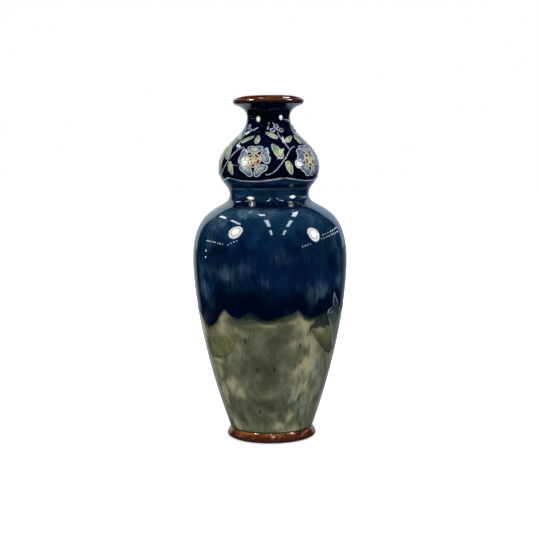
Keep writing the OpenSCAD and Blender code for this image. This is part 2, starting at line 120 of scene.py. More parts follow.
class VaseFrieze(bpy.types.PropertyGroup):
    """Sizes of the trailed frieze and of the glaze edges"""
    repeats: IntProperty(name="Flowers", description="Flowers around the bulb", default=5, min=3, max=8)
    first_flower: angle("First flower", "Turn of the first flower from the front", -18)
    flower_radius: length("Flower radius", "Half the width of a flower", 0.0145)
    flower_lift: length("Flower lift", "From the widest part of the bulb up to the flowers", 0.008)
    line_width: length("Line width", "Width of a trailed line", 0.0012)
    line_height: length("Line height", "Height of a trailed line over the glaze", 0.0007)
    fine_share: number("Fine line", "Width of a fine line as a share of a full one", 0.8, subtype="FACTOR",
                       min=0, max=1)
    pad_height: length("Pad height", "Thickness of the coloured glaze inside the lines", 0.0004)
    wobble: length("Wobble", "How far the hand-trailed work wanders from its drawing", 0.00035)
    border_gap: length("Border gap", "From the flowers down to the border line", 0.004)
    swag_depth: length("Swag depth", "Depth of the swags along the border line", 0.003)
    glaze_line: length("Glaze line", "Height at which the blue glaze ends", 0.112)
    drip_depth: length("Drip depth", "Depth of the scallops along the end of the blue glaze", 0.010)
    glaze_roll: length("Glaze roll", "How far the thick end of the blue glaze stands out", 0.00018)
    run_height: length("Run height", "Thickness of the olive runs", 0.0003)


class VaseColours(bpy.types.PropertyGroup):
    """Colours of the clay, the glazes and the slips"""
    clay: tone("Clay", "Bare stoneware", 188, 164, 132)
    navy: tone("Navy", "Dark body of the blue glaze", 1, 16, 48)
    blue: tone("Blue", "Clear body of the blue glaze", 3, 33, 67)
    blue_green: tone("Blue-green", "Greener parts of the blue glaze", 4, 34, 50)
    pool: tone("Pool", "Thickest blue glaze, nearly black", 0, 3, 25)
    teal: tone("Teal", "Thin blue glaze on the shoulder and waist", 16, 49, 76)
    cloud: tone("Cloud", "Grey-blue clouds in the blue glaze", 88, 118, 134)
    waist: tone("Waist", "Deep blue pooled at the waist", 1, 10, 38)
    veil: tone("Veil", "Dark blue-green where thin blue lies over the green", 9, 28, 34)
    haze: tone("Haze", "Blue-grey haze where the blue ends over the green", 50, 62, 60)
    olive: tone("Olive", "Body of the green glaze", 104, 106, 85)
    olive_grey: tone("Olive grey", "Duller body of the green glaze", 72, 76, 60)
    olive_dark: tone("Dark olive", "Thick parts of the green glaze", 54, 58, 46)
    cream: tone("Cream", "Pale blotches of the green glaze", 162, 157, 124)
    mist: tone("Mist", "Grey-blue streaks in the green glaze", 136, 150, 146)
    run: tone("Run", "Body of the olive runs", 82, 84, 50)
    run_pale: tone("Pale run", "Pale streaks of the olive runs", 110, 110, 74)
    run_edge: tone("Run edge", "Dark outline of the runs", 46, 50, 30)
    strip: tone("Strip", "Grey-green of the bare strip", 88, 96, 88)
    strip_deep: tone("Deep strip", "Top of the bare strip, between the blue", 40, 54, 60)
    strip_line: tone("Strip line", "Pale blue outline of the bare strip", 134, 152, 168)
    speck: tone("Speck", "Small dark specks", 30, 36, 28)
    groove: tone("Groove", "Dark green glaze pooled over the foot ring", 26, 36, 24)
    cobalt: tone("Cobalt", "Near-black ground of the frieze", 1, 3, 14)
    cobalt_light: tone("Light cobalt", "Thin places of the ground", 6, 10, 38)
    brown: tone("Brown", "Red-brown glaze of foot and lip", 92, 38, 17)
    brown_dark: tone("Dark brown", "Thick places of the red-brown glaze", 60, 29, 19)
    brown_pool: tone("Brown pool", "Purple-brown pooled at the lowest edge", 56, 32, 27)
    # Amber is thin glaze, and on the foot partly a painted warm highlight
    amber: tone("Amber", "Thin edges of the red-brown glaze", 146, 92, 38)
    inside: tone("Inside", "Plain glaze of the inside", 128, 118, 92)
    slip: tone("Slip", "Pale blue-white trailed slip", 196, 204, 214)
    slip_thin: tone("Thin slip", "Thin lilac-grey slip of the stems and border", 158, 158, 180)
    slip_cream: tone("Cream slip", "Cream trailed slip", 228, 220, 192)
    petal: tone("Petal", "Pale blue glaze of the petals", 88, 112, 144)
    petal_deep: tone("Deep petal", "Pooled blue in the petals", 34, 52, 88)
    petal_cream: tone("Cream petal", "Cream parts of the petals", 168, 172, 148)
    russet: tone("Russet", "Small inner petals", 112, 56, 32)
    eye: tone("Eye", "Green-yellow eye of a flower", 176, 182, 92)
    leaf: tone("Leaf", "Green of the leaves", 126, 156, 104)
    leaf_pale: tone("Pale leaf", "Yellow-green parts of the leaves", 176, 186, 132)
    berry: tone("Berry", "Mid blue of the berries", 56, 76, 128)


class VaseStudio(bpy.types.PropertyGroup):
    """Camera, lamps and surroundings"""
    camera_distance: length("Camera distance", "From the vase's axis to the camera", 1.040)
    camera_height: length("Camera height", "Height of the camera above the table", 0.254)
    camera_aside: length("Camera aside", "How far the camera stands to the right", 0.0)
    camera_tilt: angle("Camera tilt", "How far the camera looks down", 5.83)
    camera_roll: angle("Camera roll", "How far the camera leans", 0.59)
    focal_length: number("Focal length", "Lens of the camera, in millimetres", 78.9)
    lamp_radius: length("Lamp radius", "Half the width of each round lamp", 0.047)
    lamp_glow: number("Lamp glow", "Radiance of the round lamps", 24)
    strip_glow: number("Strip glow", "Radiance of the ceiling strips", 13)
    room_light_glow: number("Room light glow", "Radiance of the small lights around the room", 45)
    ceiling_height: length("Ceiling height", "Height of the ceiling strips over the table", 2.6)
    soft_glow: number("Soft glow", "Radiance of the two large soft lights", 2.0)
    air_light: number("Air light", "Strength of the soft light from all around", 0.62)
    room: number("Room", "Brightness of the dim room in reflections", 0.007)
    backdrop: colour("Backdrop", "Colour of the background", (1, 1, 1))
    board_left: colour("Left board", "Left side of the white board behind, as the glaze mirrors it", (0.84, 0.98, 1.0))
    board_right: colour("Right board", "Right side of the white board behind", (0.62, 0.77, 1.0))
    floor: colour("Floor", "Colour of the table", (0.86, 0.86, 0.86))


# The thrown form ------------------------------------------------------------------------------------------

# Pull of each curve at its lower and upper end, as shares of its rise
BELLY_SHARES = (0.52, 0.14)
SHOULDER_SHARES = (0.915, 0.25)
BULB_SHARES = (0.39, 0.57)
COLLAR_SHARES = (0.52, 0.41)
FLARE_SHARES = (0.68, 0.42)
FOOT_SHARES = (0.33, 0.45)
LIP_SHARES = (0.43, 0.22)
THROAT_SHARES = (0.6, 0.5)
WALL_LEAN = math.radians(20)
FLARE_LEAN = math.radians(24)
CURVE_STEPS = 120
# Width of the bend from the wall to the floor inside, and its pull in and down as shares of it
FLOOR_CURVE = 0.011
FLOOR_SHARES = (0.3, 0.5)
# The floor's coat stops this short of the axis
AXIS_GAP = 0.0001
# Rings left by the thrower's fingers at the waist: height in metres, half width and rise
THROWING_RINGS = ((0.2128, 0.0013, 0.00014), (0.2096, 0.0013, -0.00014), (0.2064, 0.0014, 0.00010),
                  (0.2041, 0.0016, 0.00020))


def bend(a, b, c, d, steps=CURVE_STEPS):
    """Points of a curve drawn between a and d with pulls b and c, without its last point."""
    t = np.linspace(0, 1, steps, endpoint=False)[:, None]
    u = 1 - t
    a, b, c, d = (np.array(p, float) for p in (a, b, c, d))
    return u ** 3 * a + 3 * u * u * t * b + 3 * u * t * t * c + t ** 3 * d


def upright(a, d, shares):
    """A curve that is upright at both of its ends."""
    rise = d[1] - a[1]
    return bend(a, (a[0], a[1] + shares[0] * rise), (d[0], d[1] - shares[1] * rise), d)


def outward(line):
    """The way out of the clay along a line that has its clay on the left."""
    way = np.gradient(line, axis=0)
    way /= np.linalg.norm(way, axis=1)[:, None]
    return np.stack([way[:, 1], -way[:, 0]], axis=1)


class Section:
    """Lines of the vase's section in metres, as (radius, height), and a ruler along its outside."""

    def __init__(self, form):
        self.groove = np.array([form.foot_radius - form.groove_depth, form.foot_height])
        belly = np.array([form.belly_radius, form.foot_height + form.belly_rise])
        waist = np.array([form.waist_radius, belly[1] + form.shoulder_rise])
        bulb = np.array([form.bulb_radius, waist[1] + form.bulb_rise])
        neck = np.array([form.neck_radius, bulb[1] + form.neck_rise])
        self.flare = np.array([form.lip_radius - form.lip_edge, neck[1] + form.flare_rise])
        crest = np.array([form.mouth_radius, form.height])
        self.bulb_height = bulb[1]
        lean = np.array([math.sin(WALL_LEAN), math.cos(WALL_LEAN)])
        flare_pull = np.array([math.cos(FLARE_LEAN), math.sin(FLARE_LEAN)])
        self.outside = np.concatenate([
            bend(self.groove, self.groove + BELLY_SHARES[0] * form.belly_rise * lean,
                 belly - [0, BELLY_SHARES[1] * form.belly_rise], belly),
            upright(belly, waist, SHOULDER_SHARES),
            upright(waist, bulb, BULB_SHARES),
            upright(bulb, neck, COLLAR_SHARES),
            bend(neck, neck + [0, FLARE_SHARES[0] * form.flare_rise],
                 self.flare - FLARE_SHARES[1] * form.flare_rise * flare_pull, self.flare),
            [self.flare]])
        for level, half, rise in THROWING_RINGS:
            self.outside[:, 0] += rise * np.exp(-((self.outside[:, 1] - level) / half) ** 2)
        self.travel = np.concatenate([[0], np.cumsum(np.linalg.norm(np.diff(self.outside, axis=0), axis=1))])

        seat = form.foot_radius - form.seat_inset
        wide = FOOT_SHARES[0] * form.foot_height
        self.foot = np.concatenate([
            bend((seat, 0), ((seat + form.foot_radius) / 2, 0),
                 (form.foot_radius, FOOT_SHARES[1] * wide), (form.foot_radius, wide)),
            bend((form.foot_radius, wide), (form.foot_radius, wide + FOOT_SHARES[1] * wide),
                 self.groove + FOOT_SHARES[1] * np.array([1, -1]) * form.groove_depth / 2, self.groove),
            [self.groove]])
        lip_rise = form.height - self.flare[1]
        lip_wide = np.array([form.lip_radius, self.flare[1] + LIP_SHARES[0] * lip_rise])
        self.lip = np.concatenate([
            bend(self.flare, self.flare + form.lip_edge / 2, lip_wide - [0, form.lip_edge], lip_wide),
            bend(lip_wide, lip_wide + [0, LIP_SHARES[0] * (form.height - lip_wide[1])],
                 crest + [LIP_SHARES[1] * (form.lip_radius - form.mouth_radius), 0], crest),
            [crest]])
        throat = np.array([form.neck_radius - form.wall, neck[1]])
        sunk = (self.outside - form.wall * outward(self.outside))[::-1]
        hollow = sunk[(sunk[:, 1] < neck[1] - form.coat) & (sunk[:, 1] > form.floor_height + FLOOR_CURVE)]
        self.inside = np.concatenate([
            bend(crest, crest - [THROAT_SHARES[0] * (form.mouth_radius - throat[0]), 0],
                 throat + [0, THROAT_SHARES[1] * (form.height - neck[1])], throat),
            hollow,
            bend(hollow[-1], hollow[-1] - FLOOR_CURVE * np.array(FLOOR_SHARES),
                 (hollow[-1][0] - FLOOR_CURVE, form.floor_height),
                 (hollow[-1][0] - 2 * FLOOR_CURVE, form.floor_height)),
            [(AXIS_GAP, form.floor_height)]])

    def radius(self, travel):
        return np.interp(travel, self.travel, self.outside[:, 0])

    def height(self, travel):
        return np.interp(travel, self.travel, self.outside[:, 1])

    def travel_at(self, height):
        return np.interp(height, self.outside[:, 1], self.travel)


# Geometry Nodes -------------------------------------------------------------------------------------------

class NodeSheet:
    """A node tree under construction: add() makes a node and wires or sets its sockets by name."""

    def __init__(self, tree):
        self.tree = tree

    def link(self, start, end):
        self.tree.links.new(start, end)

    def feed(self, socket, value):
        if isinstance(value, bpy.types.NodeSocket):
            self.link(value, socket)
        else:
            socket.default_value = value

    def add(self, kind, feeds=None, **settings):
        node = self.tree.nodes.new(kind)
        for key, value in settings.items():
            setattr(node, key, value)
        for key, value in (feeds or {}).items():
            self.feed(node.inputs[key], value)
        return node

    def maths(self, operation, *values):
        return self.add("ShaderNodeMath", dict(enumerate(values)), operation=operation).outputs[0]

    plus = partialmethod(maths, "ADD")
    minus = partialmethod(maths, "SUBTRACT")
    times = partialmethod(maths, "MULTIPLY")
    over = partialmethod(maths, "DIVIDE")
    most = partialmethod(maths, "MAXIMUM")
    least = partialmethod(maths, "MINIMUM")

    def vector(self, operation, *values, output=0):
        return self.add("ShaderNodeVectorMath", dict(enumerate(values)), operation=operation).outputs[output]

    def scaled(self, vector, scale):
        return self.add("ShaderNodeVectorMath", {0: vector, "Scale": scale}, operation="SCALE").outputs[0]

    def parts(self, vector):
        return self.add("ShaderNodeSeparateXYZ", {0: vector}).outputs

    def joined(self, x=0, y=0, z=0):
        return self.add("ShaderNodeCombineXYZ", {0: x, 1: y, 2: z}).outputs[0]

    def span(self, value, low=0.0, high=1.0, to_low=0.0, to_high=1.0, **settings):
        """A value carried from one range to another and held at its ends."""
        return self.add("ShaderNodeMapRange", {"Value": value, "From Min": low, "From Max": high,
                                               "To Min": to_low, "To Max": to_high}, **settings).outputs[0]

    def either(self, factor, first, second):
        return self.add("ShaderNodeMix", {0: factor, 2: first, 3: second}, data_type="FLOAT").outputs[0]

    def blend(self, factor, under, over, kind="MIX"):
        """Two colours mixed, each from a socket or as plain values."""
        colours = [value if isinstance(value, bpy.types.NodeSocket) else (*value[:3], 1) for value in (under, over)]
        return self.add("ShaderNodeMix", {0: factor, 6: colours[0], 7: colours[1]}, data_type="RGBA",
                        blend_type=kind).outputs[2]

    def ripples(self, place, scale, detail=1.0, output="Fac", **feeds):
        return self.add("ShaderNodeTexNoise", {"Vector": place, "Scale": scale, "Detail": detail,
                                               **feeds}).outputs[output]

    def position(self):
        return self.add("GeometryNodeInputPosition").outputs[0]

    def named(self, name):
        return self.add("GeometryNodeInputNamedAttribute", {"Name": name}, data_type="FLOAT").outputs[0]

    def store(self, geometry, name, value, domain):
        return self.add("GeometryNodeStoreNamedAttribute", {"Geometry": geometry, "Name": name, "Value": value},
                        domain=domain, data_type="FLOAT").outputs[0]

    def moved(self, geometry, place):
        return self.add("GeometryNodeSetPosition", {"Geometry": geometry, "Position": place}).outputs[0]


def new_tree(name, *inputs):
    """A geometry tree with its named inputs, given as (name, kind, default, subtype)."""
    tree = bpy.data.node_groups.new(name, "GeometryNodeTree")
    for label, kind, default, unit in (("Geometry", "Geometry", None, None), *inputs):
        made = tree.interface.new_socket(name=label, in_out="INPUT", socket_type="NodeSocket" + kind)
        if default is not None:
            made.default_value = default
        if unit:
            made.subtype = unit
    tree.interface.new_socket(name="Geometry", in_out="OUTPUT", socket_type="NodeSocketGeometry")
    sheet = NodeSheet(tree)
    return sheet, sheet.add("NodeGroupInput").outputs, sheet.add("NodeGroupOutput").inputs["Geometry"]


REPEAT, LAY, GLAZE, TRAIL = "Repeat around the vase", "Lay on the vase", "Glaze on the vase", "Trailed slip"
REPEAT_INPUTS = (
    ("Repeats", "Int", 1, None),
    ("First Turn", "Float", 0.0, "ANGLE"),
)
LAY_INPUTS = (
    ("Section", "Object", None, None),
    ("True Width", "Float", 0.0, None),
    ("Wobble", "Float", 0.0, "DISTANCE"),
    ("Unevenness", "Float", 0.0, "DISTANCE"),
    ("Uneven Scale", "Float", 22.0, None),
)
TRAIL_INPUTS = (
    ("Line Width", "Float", 0.0012, "DISTANCE"),
    ("Line Height", "Float", 0.0007, "DISTANCE"),
    ("Seed", "Float", 0.0, None),
)
MATERIAL_INPUT = ("Material", "Material", None, None)
WOBBLE_SCALE = 70.0
# Beads of slip: sides, spacing of their points, lowest side, unevenness of their width, its scale, length of a
# tapered end and the width that is left at its tip
BEAD_SIDES = 12
BEAD_SPACING = 0.00035
BEAD_FOOT_SHARE = -0.35
BEAD_JITTER = 0.16
BEAD_JITTER_SCALE = 330.0
BEAD_TAPER = 0.0016
BEAD_TIP_SHARE = 0.3


def repeat_group():
    """Copies a motif around the vase. A point's own share of the pitch is read from its attribute."""
    sheet, inputs, output = new_tree(REPEAT, *REPEAT_INPUTS)
    pitch = sheet.over(FULL_TURN, inputs["Repeats"])
    whole = sheet.add("GeometryNodeGeometryToInstance", {"Geometry": inputs["Geometry"]}).outputs[0]
    copies = sheet.add("GeometryNodeDuplicateElements", {"Geometry": whole, "Amount": inputs["Repeats"]},
                       domain="INSTANCE").outputs
    numbered = sheet.store(copies["Geometry"], "copy", copies["Duplicate Index"], "INSTANCE")
    real = sheet.add("GeometryNodeRealizeInstances", {"Geometry": numbered}).outputs[0]
    place = sheet.times(pitch, sheet.plus(sheet.named("copy"), sheet.named("pitch_share")))
    sheet.link(sheet.store(real, "centre_turn", sheet.plus(inputs["First Turn"], place), "POINT"), output)
    return sheet.tree


def lay_group():
    """Lays a flat chart on the section line: x goes around, y up the outside and z out of the glaze."""
    sheet, inputs, output = new_tree(LAY, *LAY_INPUTS)
    section = sheet.add("GeometryNodeObjectInfo", {"Object": inputs["Section"]}).outputs["Geometry"]
    x, y, z = sheet.parts(sheet.position())

    def ruler(travel):
        sample = sheet.add("GeometryNodeSampleCurve", {"Curves": section, "Length": travel},
                           mode="LENGTH", use_all_curves=True)
        return sample.outputs["Position"], sample.outputs["Tangent"]

    def around(radius, turn, height):
        return sheet.joined(sheet.times(radius, sheet.maths("SINE", turn)),
                            sheet.times(radius, sheet.times(sheet.maths("COSINE", turn), -1.0)), height)

    radius = sheet.parts(ruler(y)[0])[0]
    turn = sheet.plus(sheet.named("centre_turn"), sheet.either(inputs["True Width"], x, sheet.over(x, radius)))
    drift = sheet.ripples(around(radius, turn, y), WOBBLE_SCALE, output="Color")
    drift_x, drift_y, _ = sheet.parts(sheet.vector("SUBTRACT", drift, (0.5, 0.5, 0.5)))
    wobble = sheet.times(inputs["Wobble"], 2.0)
    turn = sheet.plus(turn, sheet.over(sheet.times(drift_x, wobble), radius))
    point, tangent = ruler(sheet.plus(y, sheet.times(drift_y, wobble)))
    normal = sheet.vector("NORMALIZE", sheet.vector("CROSS_PRODUCT", (0.0, 1.0, 0.0), tangent))
    ripple = sheet.ripples(around(sheet.parts(point)[0], turn, sheet.parts(point)[2]), inputs["Uneven Scale"])
    rise = sheet.times(sheet.minus(ripple, 0.5), inputs["Unevenness"])
    reach = sheet.scaled(normal, sheet.plus(z, sheet.times(rise, 2.0)))
    radius_out, _, height_out = sheet.parts(sheet.vector("ADD", point, reach))
    sheet.link(sheet.moved(inputs["Geometry"], around(radius_out, turn, height_out)), output)
    return sheet.tree


def through(sheet, name, geometry, inputs, sockets):
    """Geometry put through another tree, which takes the named values from this tree's inputs."""
    node = sheet.add("GeometryNodeGroup", {}, node_tree=shared_tree(name))
    for label, value in (("Geometry", geometry), *((label, inputs[label]) for label, *_ in sockets)):
        sheet.link(value, node.inputs[label])
    return node.outputs["Geometry"]


def finish_tree(sheet, inputs, output, geometry):
    """Lays the geometry on the vase and ends the tree as every tree here ends."""
    laid = through(sheet, LAY, geometry, inputs, LAY_INPUTS)
    smooth = sheet.add("GeometryNodeSetShadeSmooth", {"Geometry": laid}).outputs[0]
    real = sheet.add("GeometryNodeRealizeInstances", {"Geometry": smooth}).outputs[0]
    coated = sheet.add("GeometryNodeSetMaterial", {"Geometry": real, "Material": inputs["Material"]})
    sheet.link(coated.outputs[0], output)
    return sheet.tree


def glaze_tree():
    """A coat or pads of glaze: a flat chart mesh, repeated and laid on the vase."""
    sheet, inputs, output = new_tree(GLAZE, *REPEAT_INPUTS, *LAY_INPUTS, MATERIAL_INPUT)
    return finish_tree(sheet, inputs, output, through(sheet, REPEAT, inputs["Geometry"], inputs, REPEAT_INPUTS))


def trail_tree():
    """Slip trailed along flat lines: a rounded bead of uneven width, repeated and laid on the vase."""
    sheet, inputs, output = new_tree(TRAIL, *REPEAT_INPUTS, *LAY_INPUTS, *TRAIL_INPUTS, MATERIAL_INPUT)
    curve = sheet.add("GeometryNodeMeshToCurve", {"Mesh": inputs["Geometry"]}).outputs[0]
    even = sheet.add("GeometryNodeResampleCurve", {"Curve": curve, "Length": BEAD_SPACING}, mode="LENGTH").outputs[0]
    repeated = through(sheet, REPEAT, even, inputs, REPEAT_INPUTS)
    ring = sheet.add("GeometryNodeCurvePrimitiveCircle", {"Resolution": BEAD_SIDES, "Radius": 1.0}).outputs[0]
    across, up, _ = sheet.parts(sheet.position())
    profile = sheet.moved(ring, sheet.joined(sheet.times(sheet.times(across, 0.5), inputs["Line Width"]),
                                             sheet.times(sheet.most(up, BEAD_FOOT_SHARE), inputs["Line Height"])))
    own = sheet.joined(sheet.plus(sheet.named("copy"), inputs["Seed"]))
    pulse = sheet.ripples(sheet.vector("ADD", sheet.position(), own), BEAD_JITTER_SCALE, 2.0)
    jitter = sheet.plus(1.0, sheet.times(sheet.minus(pulse, 0.5), 2 * BEAD_JITTER))
    done = sheet.add("GeometryNodeSplineParameter").outputs["Length"]
    total = sheet.add("GeometryNodeSplineLength").outputs["Length"]
    left = sheet.least(sheet.over(sheet.least(done, sheet.minus(total, done)), BEAD_TAPER), 1.0)
    end = sheet.plus(BEAD_TIP_SHARE, sheet.times(sheet.maths("SQRT", left), 1 - BEAD_TIP_SHARE))
    taper = sheet.most(end, sheet.add("GeometryNodeInputSplineCyclic").outputs[0])
    bead = sheet.add("GeometryNodeCurveToMesh", {"Curve": repeated, "Profile Curve": profile, "Fill Caps": True,
                                                 "Scale": sheet.times(jitter, taper)}).outputs[0]
    return finish_tree(sheet, inputs, output, bead)


TREES = {REPEAT: repeat_group, LAY: lay_group, GLAZE: glaze_tree, TRAIL: trail_tree}


def shared_tree(name):
    return bpy.data.node_groups.get(name) or TREES[name]()


def linked(name, data):
    piece = bpy.data.objects.new(name, data)
    bpy.context.scene.collection.objects.link(piece)
    return piece


def line_object(name, line):
    """A section line as a curve in the XZ plane, for the trees to measure along."""
    curve = bpy.data.curves.new(name, "CURVE")
    curve.dimensions = "3D"
    spline = curve.splines.new("POLY")
    spline.points.add(len(line) - 1)
    zero = np.zeros(len(line))
    spline.points.foreach_set("co", np.column_stack([line[:, 0], zero, line[:, 1], zero + 1]).ravel())
    return linked(name, curve)


def laid_piece(name, flat_mesh, section, material, node, slot, tree_name=GLAZE, **inputs):
    """Runs a tree on a flat mesh, keeps the result as a plain mesh, hangs it under the root and hides the imported part
    that it stands for.
    """
    flat = linked(name + "_flat", flat_mesh)
    ruler = line_object(name + "_ruler", section)
    tree = shared_tree(tree_name)
    modifier = flat.modifiers.new(tree_name, "NODES")
    modifier.node_group = tree
    identifiers = {item.name: item.identifier for item in tree.interface.items_tree if item.in_out == "INPUT"}
    for label, value in {"Section": ruler, "Material": material, **inputs}.items():
        modifier[identifiers[label]] = value
    graph = bpy.context.evaluated_depsgraph_get()
    mesh = bpy.data.meshes.new_from_object(flat.evaluated_get(graph), preserve_all_data_layers=True, depsgraph=graph)
    for helper in (flat, ruler):
        bpy.data.objects.remove(helper)
    if not mesh.polygons:
        raise RuntimeError(f"{name} came out empty")
    mesh.name = name
    piece = linked(name, mesh)
    if not mesh.materials:
        mesh.materials.append(material)
    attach(piece, "root")
    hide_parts(node)


# Flat charts ----------------------------------------------------------------------------------------------

COLUMNS = 384
ROW_STEP = 0.002
INNER_STEP = 0.0035
EDGE_ROWS = np.array([0, 0.12, 0.3, 0.55, 0.9, 1.4, 2.1, 3.0, 4.2]) * MM
# How deep the back of a coat lies, as a share of its thickness
BACK_SHARE = 0.94


def column_turns(columns=COLUMNS):
    return np.linspace(0, FULL_TURN, columns, endpoint=False)


def chart_mesh(name, points, faces, **attributes):
    """A mesh of points on a flat chart, with named values at each point."""
    mesh = bpy.data.meshes.new(name)
    mesh.from_pydata(points.tolist(), [], faces)
    for key, values in attributes.items():
        mesh.attributes.new(key, "FLOAT", "POINT").data.foreach_set("value", np.asarray(values, np.float32).ravel())
    mesh.update()
    return mesh


def hoop_faces(columns, rows):
    """Faces of a grid of columns around and rows along a closed section, joined both ways."""
    i, j = np.meshgrid(np.arange(columns), np.arange(rows), indexing="ij")
    k, m = (i + 1) % columns, (j + 1) % rows
    return np.stack([i * rows + j, k * rows + j, k * rows + m, i * rows + m], axis=-1).reshape(-1, 4).tolist()


def coat_chart(name, low, high, coat, lift=None, **fields):
    """A closed coat between two wavy edges, given per column, in metres up the outside."""
    low, high = (np.broadcast_to(edge, COLUMNS)[:, None] for edge in (low, high))
    widest = (high - low).max()
    shares = np.linspace(0, 1, int(np.ceil(widest / ROW_STEP)) + 1)[1:-1]
    body_low, body_high = low + EDGE_ROWS[-1], high - EDGE_ROWS[-1]
    outer = np.concatenate([low + EDGE_ROWS, body_low + (body_high - body_low) * shares, high - EDGE_ROWS[::-1]],
                           axis=1)
    inner = low + (high - low) * np.linspace(1, 0, int(np.ceil(widest / INNER_STEP)))
    raised = lift(outer - low, high - outer) if lift else 0 * outer
    depth = np.concatenate([raised, np.full(inner.shape, -BACK_SHARE * coat)], axis=1)
    travel = np.concatenate([outer, inner], axis=1)
    rows, travel = travel.shape[1], travel.ravel()
    around = np.repeat(column_turns(), rows)
    values = {key: make(around, travel) for key, make in fields.items()}
    return chart_mesh(name, np.column_stack([around, travel, depth.ravel()]), hoop_faces(COLUMNS, rows), **values)


def loop_chart(name, columns, step, line):
    """A closed section line swept around: rows follow the whole line, in steps of about the given length."""
    total = np.linalg.norm(np.diff(line, axis=0), axis=1).sum()
    rows = int(round(total / step))
    around, travel = np.meshgrid(column_turns(columns), np.linspace(0, total, rows, endpoint=False), indexing="ij")
    points = np.column_stack([around.ravel(), travel.ravel(), 0 * travel.ravel()])
    return chart_mesh(name, points, hoop_faces(columns, rows))


# Soft patches seen on the glazes: turn from the front and half width in degrees, height and half height in
# millimetres, and strength
BLUE_CLOUDS = (
    (-22, 14, 204, 4.5, 1.8), (1, 8, 201, 6, 0.8), (36, 14, 196, 8, 0.65), (-43, 12, 196, 8, 0.8),
    (-12, 5, 199, 5, 0.6), (-30, 7, 152, 8, 0.75), (-57, 8, 141, 22, 0.85), (5, 4, 162, 7, 0.4),
    (15, 14, 165, 5, 0.35), (66, 9, 158, 34, 0.5), (58, 9, 182, 14, 0.4), (37, 10, 133, 9, 0.85),
    (64, 8, 138, 12, 0.7), (-18, 8, 153, 9, 0.35), (46, 7, 124, 8, 0.4), (12, 4, 117, 6, 0.4),
    (-58, 9, 151, 8, 0.6), (-60, 9, 110, 7, 0.7), (-51, 5, 177, 7, 0.5), (-17, 13, 203, 4.5, 1.6),
    (-10, 12, 142, 5, 0.25), (-49, 8, 191, 6, 0.9))
BLUE_POOLS = (
    (-40, 9, 169, 9, 0.8), (-38, 8, 136, 12, 0.9), (-14, 14, 170, 9, 0.7), (-4, 5, 162, 10, 0.6),
    (3, 6, 182, 10, 0.5), (48, 9, 160, 12, 0.9), (18, 8, 142, 8, 0.5), (-12, 17, 126, 12, 1.0),
    (22, 12, 124, 10, 0.6), (26, 8, 180, 9, 0.4), (-38, 7, 118, 10, 0.9), (-2, 14, 119, 9, 0.8),
    (-12, 5, 193, 5, 0.5), (14, 5, 193, 5, 0.4), (4, 8, 186, 12, 0.45))
GREEN_CREAMS = (
    (-37, 9, 55, 6, 1.4), (-34, 7, 47, 6, 1.0), (-56, 8, 43, 8, 1.0), (34, 10, 69, 12, 1.2), (33, 10, 51, 9, 0.9),
    (36, 18, 13, 7, 1.1), (23, 7, 25, 5, 0.8), (-54, 14, 16, 8, 1.1), (27, 10, 108, 12, 0.9),
    (-37, 7, 109, 12, 1.2), (30, 9, 93, 7, 0.95), (38, 7, 88, 10, 1.1), (42, 7, 100, 6, 1.2), (-73, 9, 98, 16, 1.1),
    (-8, 13, 107, 3, 0.35), (60, 14, 76, 16, 0.4), (-64, 12, 62, 12, 0.75), (-46, 6, 48, 6, 0.8),
    (-53, 9, 74, 2.4, 1.1), (-40, 8, 79, 7, 0.6), (-57, 7, 68, 5, 0.55), (-31, 9, 86, 9, 0.45),
    (-26, 12, 100, 5, 0.6), (20, 7, 90, 6, 0.5), (23, 6, 67, 6, 0.5), (27, 7, 56, 5, 0.4), (18, 6, 109, 4, 0.8),
    (0, 7, 27, 4, 0.6), (53, 7, 45, 8, 0.6), (9, 9, 17, 7, 1.1), (16, 12, 10, 4, 0.9))
GREEN_POOLS = (
    (-16, 13, 67, 15, 1.25), (-36, 9, 30, 11, 1.5), (-24, 8, 30, 9, 0.9), (4, 8, 88, 9, 1.0), (-8, 16, 37, 8, 1.1),
    (50, 6, 40, 20, 0.3), (-20, 8, 92, 7, 0.5), (31, 10, 40, 5, 0.4), (6, 8, 78, 9, 1.0), (-10, 12, 22, 6, 0.9),
    (2, 12, 98, 7, 0.7), (16, 7, 99, 5, 0.4), (-32, 5, 92, 6, 0.6), (-46, 7, 66, 5, 0.6), (-1, 7, 57, 8, 0.7),
    (17, 6, 35, 5, 1.1), (43, 6, 67, 5, 1.2), (-8, 5, 19, 8, 0.8), (10, 5, 76, 9, 0.6))
GREEN_MISTS = (
    (9, 5, 64, 9, 0.5), (19, 9, 47, 11, 1.0), (37, 7, 33, 11, 1.0), (27, 8, 38, 8, 0.6), (-18, 9, 68, 12, 0.3),
    (46, 9, 58, 25, 0.9), (35, 6, 58, 9, 0.7), (-40, 8, 40, 10, 0.4), (7, 5, 82, 7, 0.25))
GREEN_HAZES = (
    (-26, 13, 110, 4.5, 1.2), (-6, 15, 111.5, 3, 1.5), (12, 9, 114.5, 3.5, 1.3), (-45, 7, 110, 3, 0.6))
# Where thin blue lies over the green in a block under its scallops
GREEN_VEILS = (
    (40, 8, 108, 6, 1.4), (50, 6, 107, 6, 1.9), (30, 4, 113, 3, 0.9), (-13, 9, 114, 3.5, 1.7),
    (5, 10, 111.5, 2.5, 0.7))
VEIL_SQUARENESS = 2.5
# A pale line along the end of an earlier dip: middle and half width in degrees, height in millimetres and sag, and
# how far it narrows at its ends
DIP_LINE = (-8.5, 14, 109.4, 2.8)
DIP_LEAST = 0.02
GREEN_PATCHES = {"pools": GREEN_POOLS, "creams": GREEN_CREAMS, "mists": GREEN_MISTS, "hazes": GREEN_HAZES,
                 "veils": GREEN_VEILS}
# Waves that unround the patches: around the vase, per millimetre of height, and share
SWAY_WAVES = ((3, 0.07, 0.5), (7, -0.11, 0.34), (13, 0.19, 0.26), (22, -0.31, 0.2), (37, 0.47, 0.15))
SWAY_REACH = 0.6
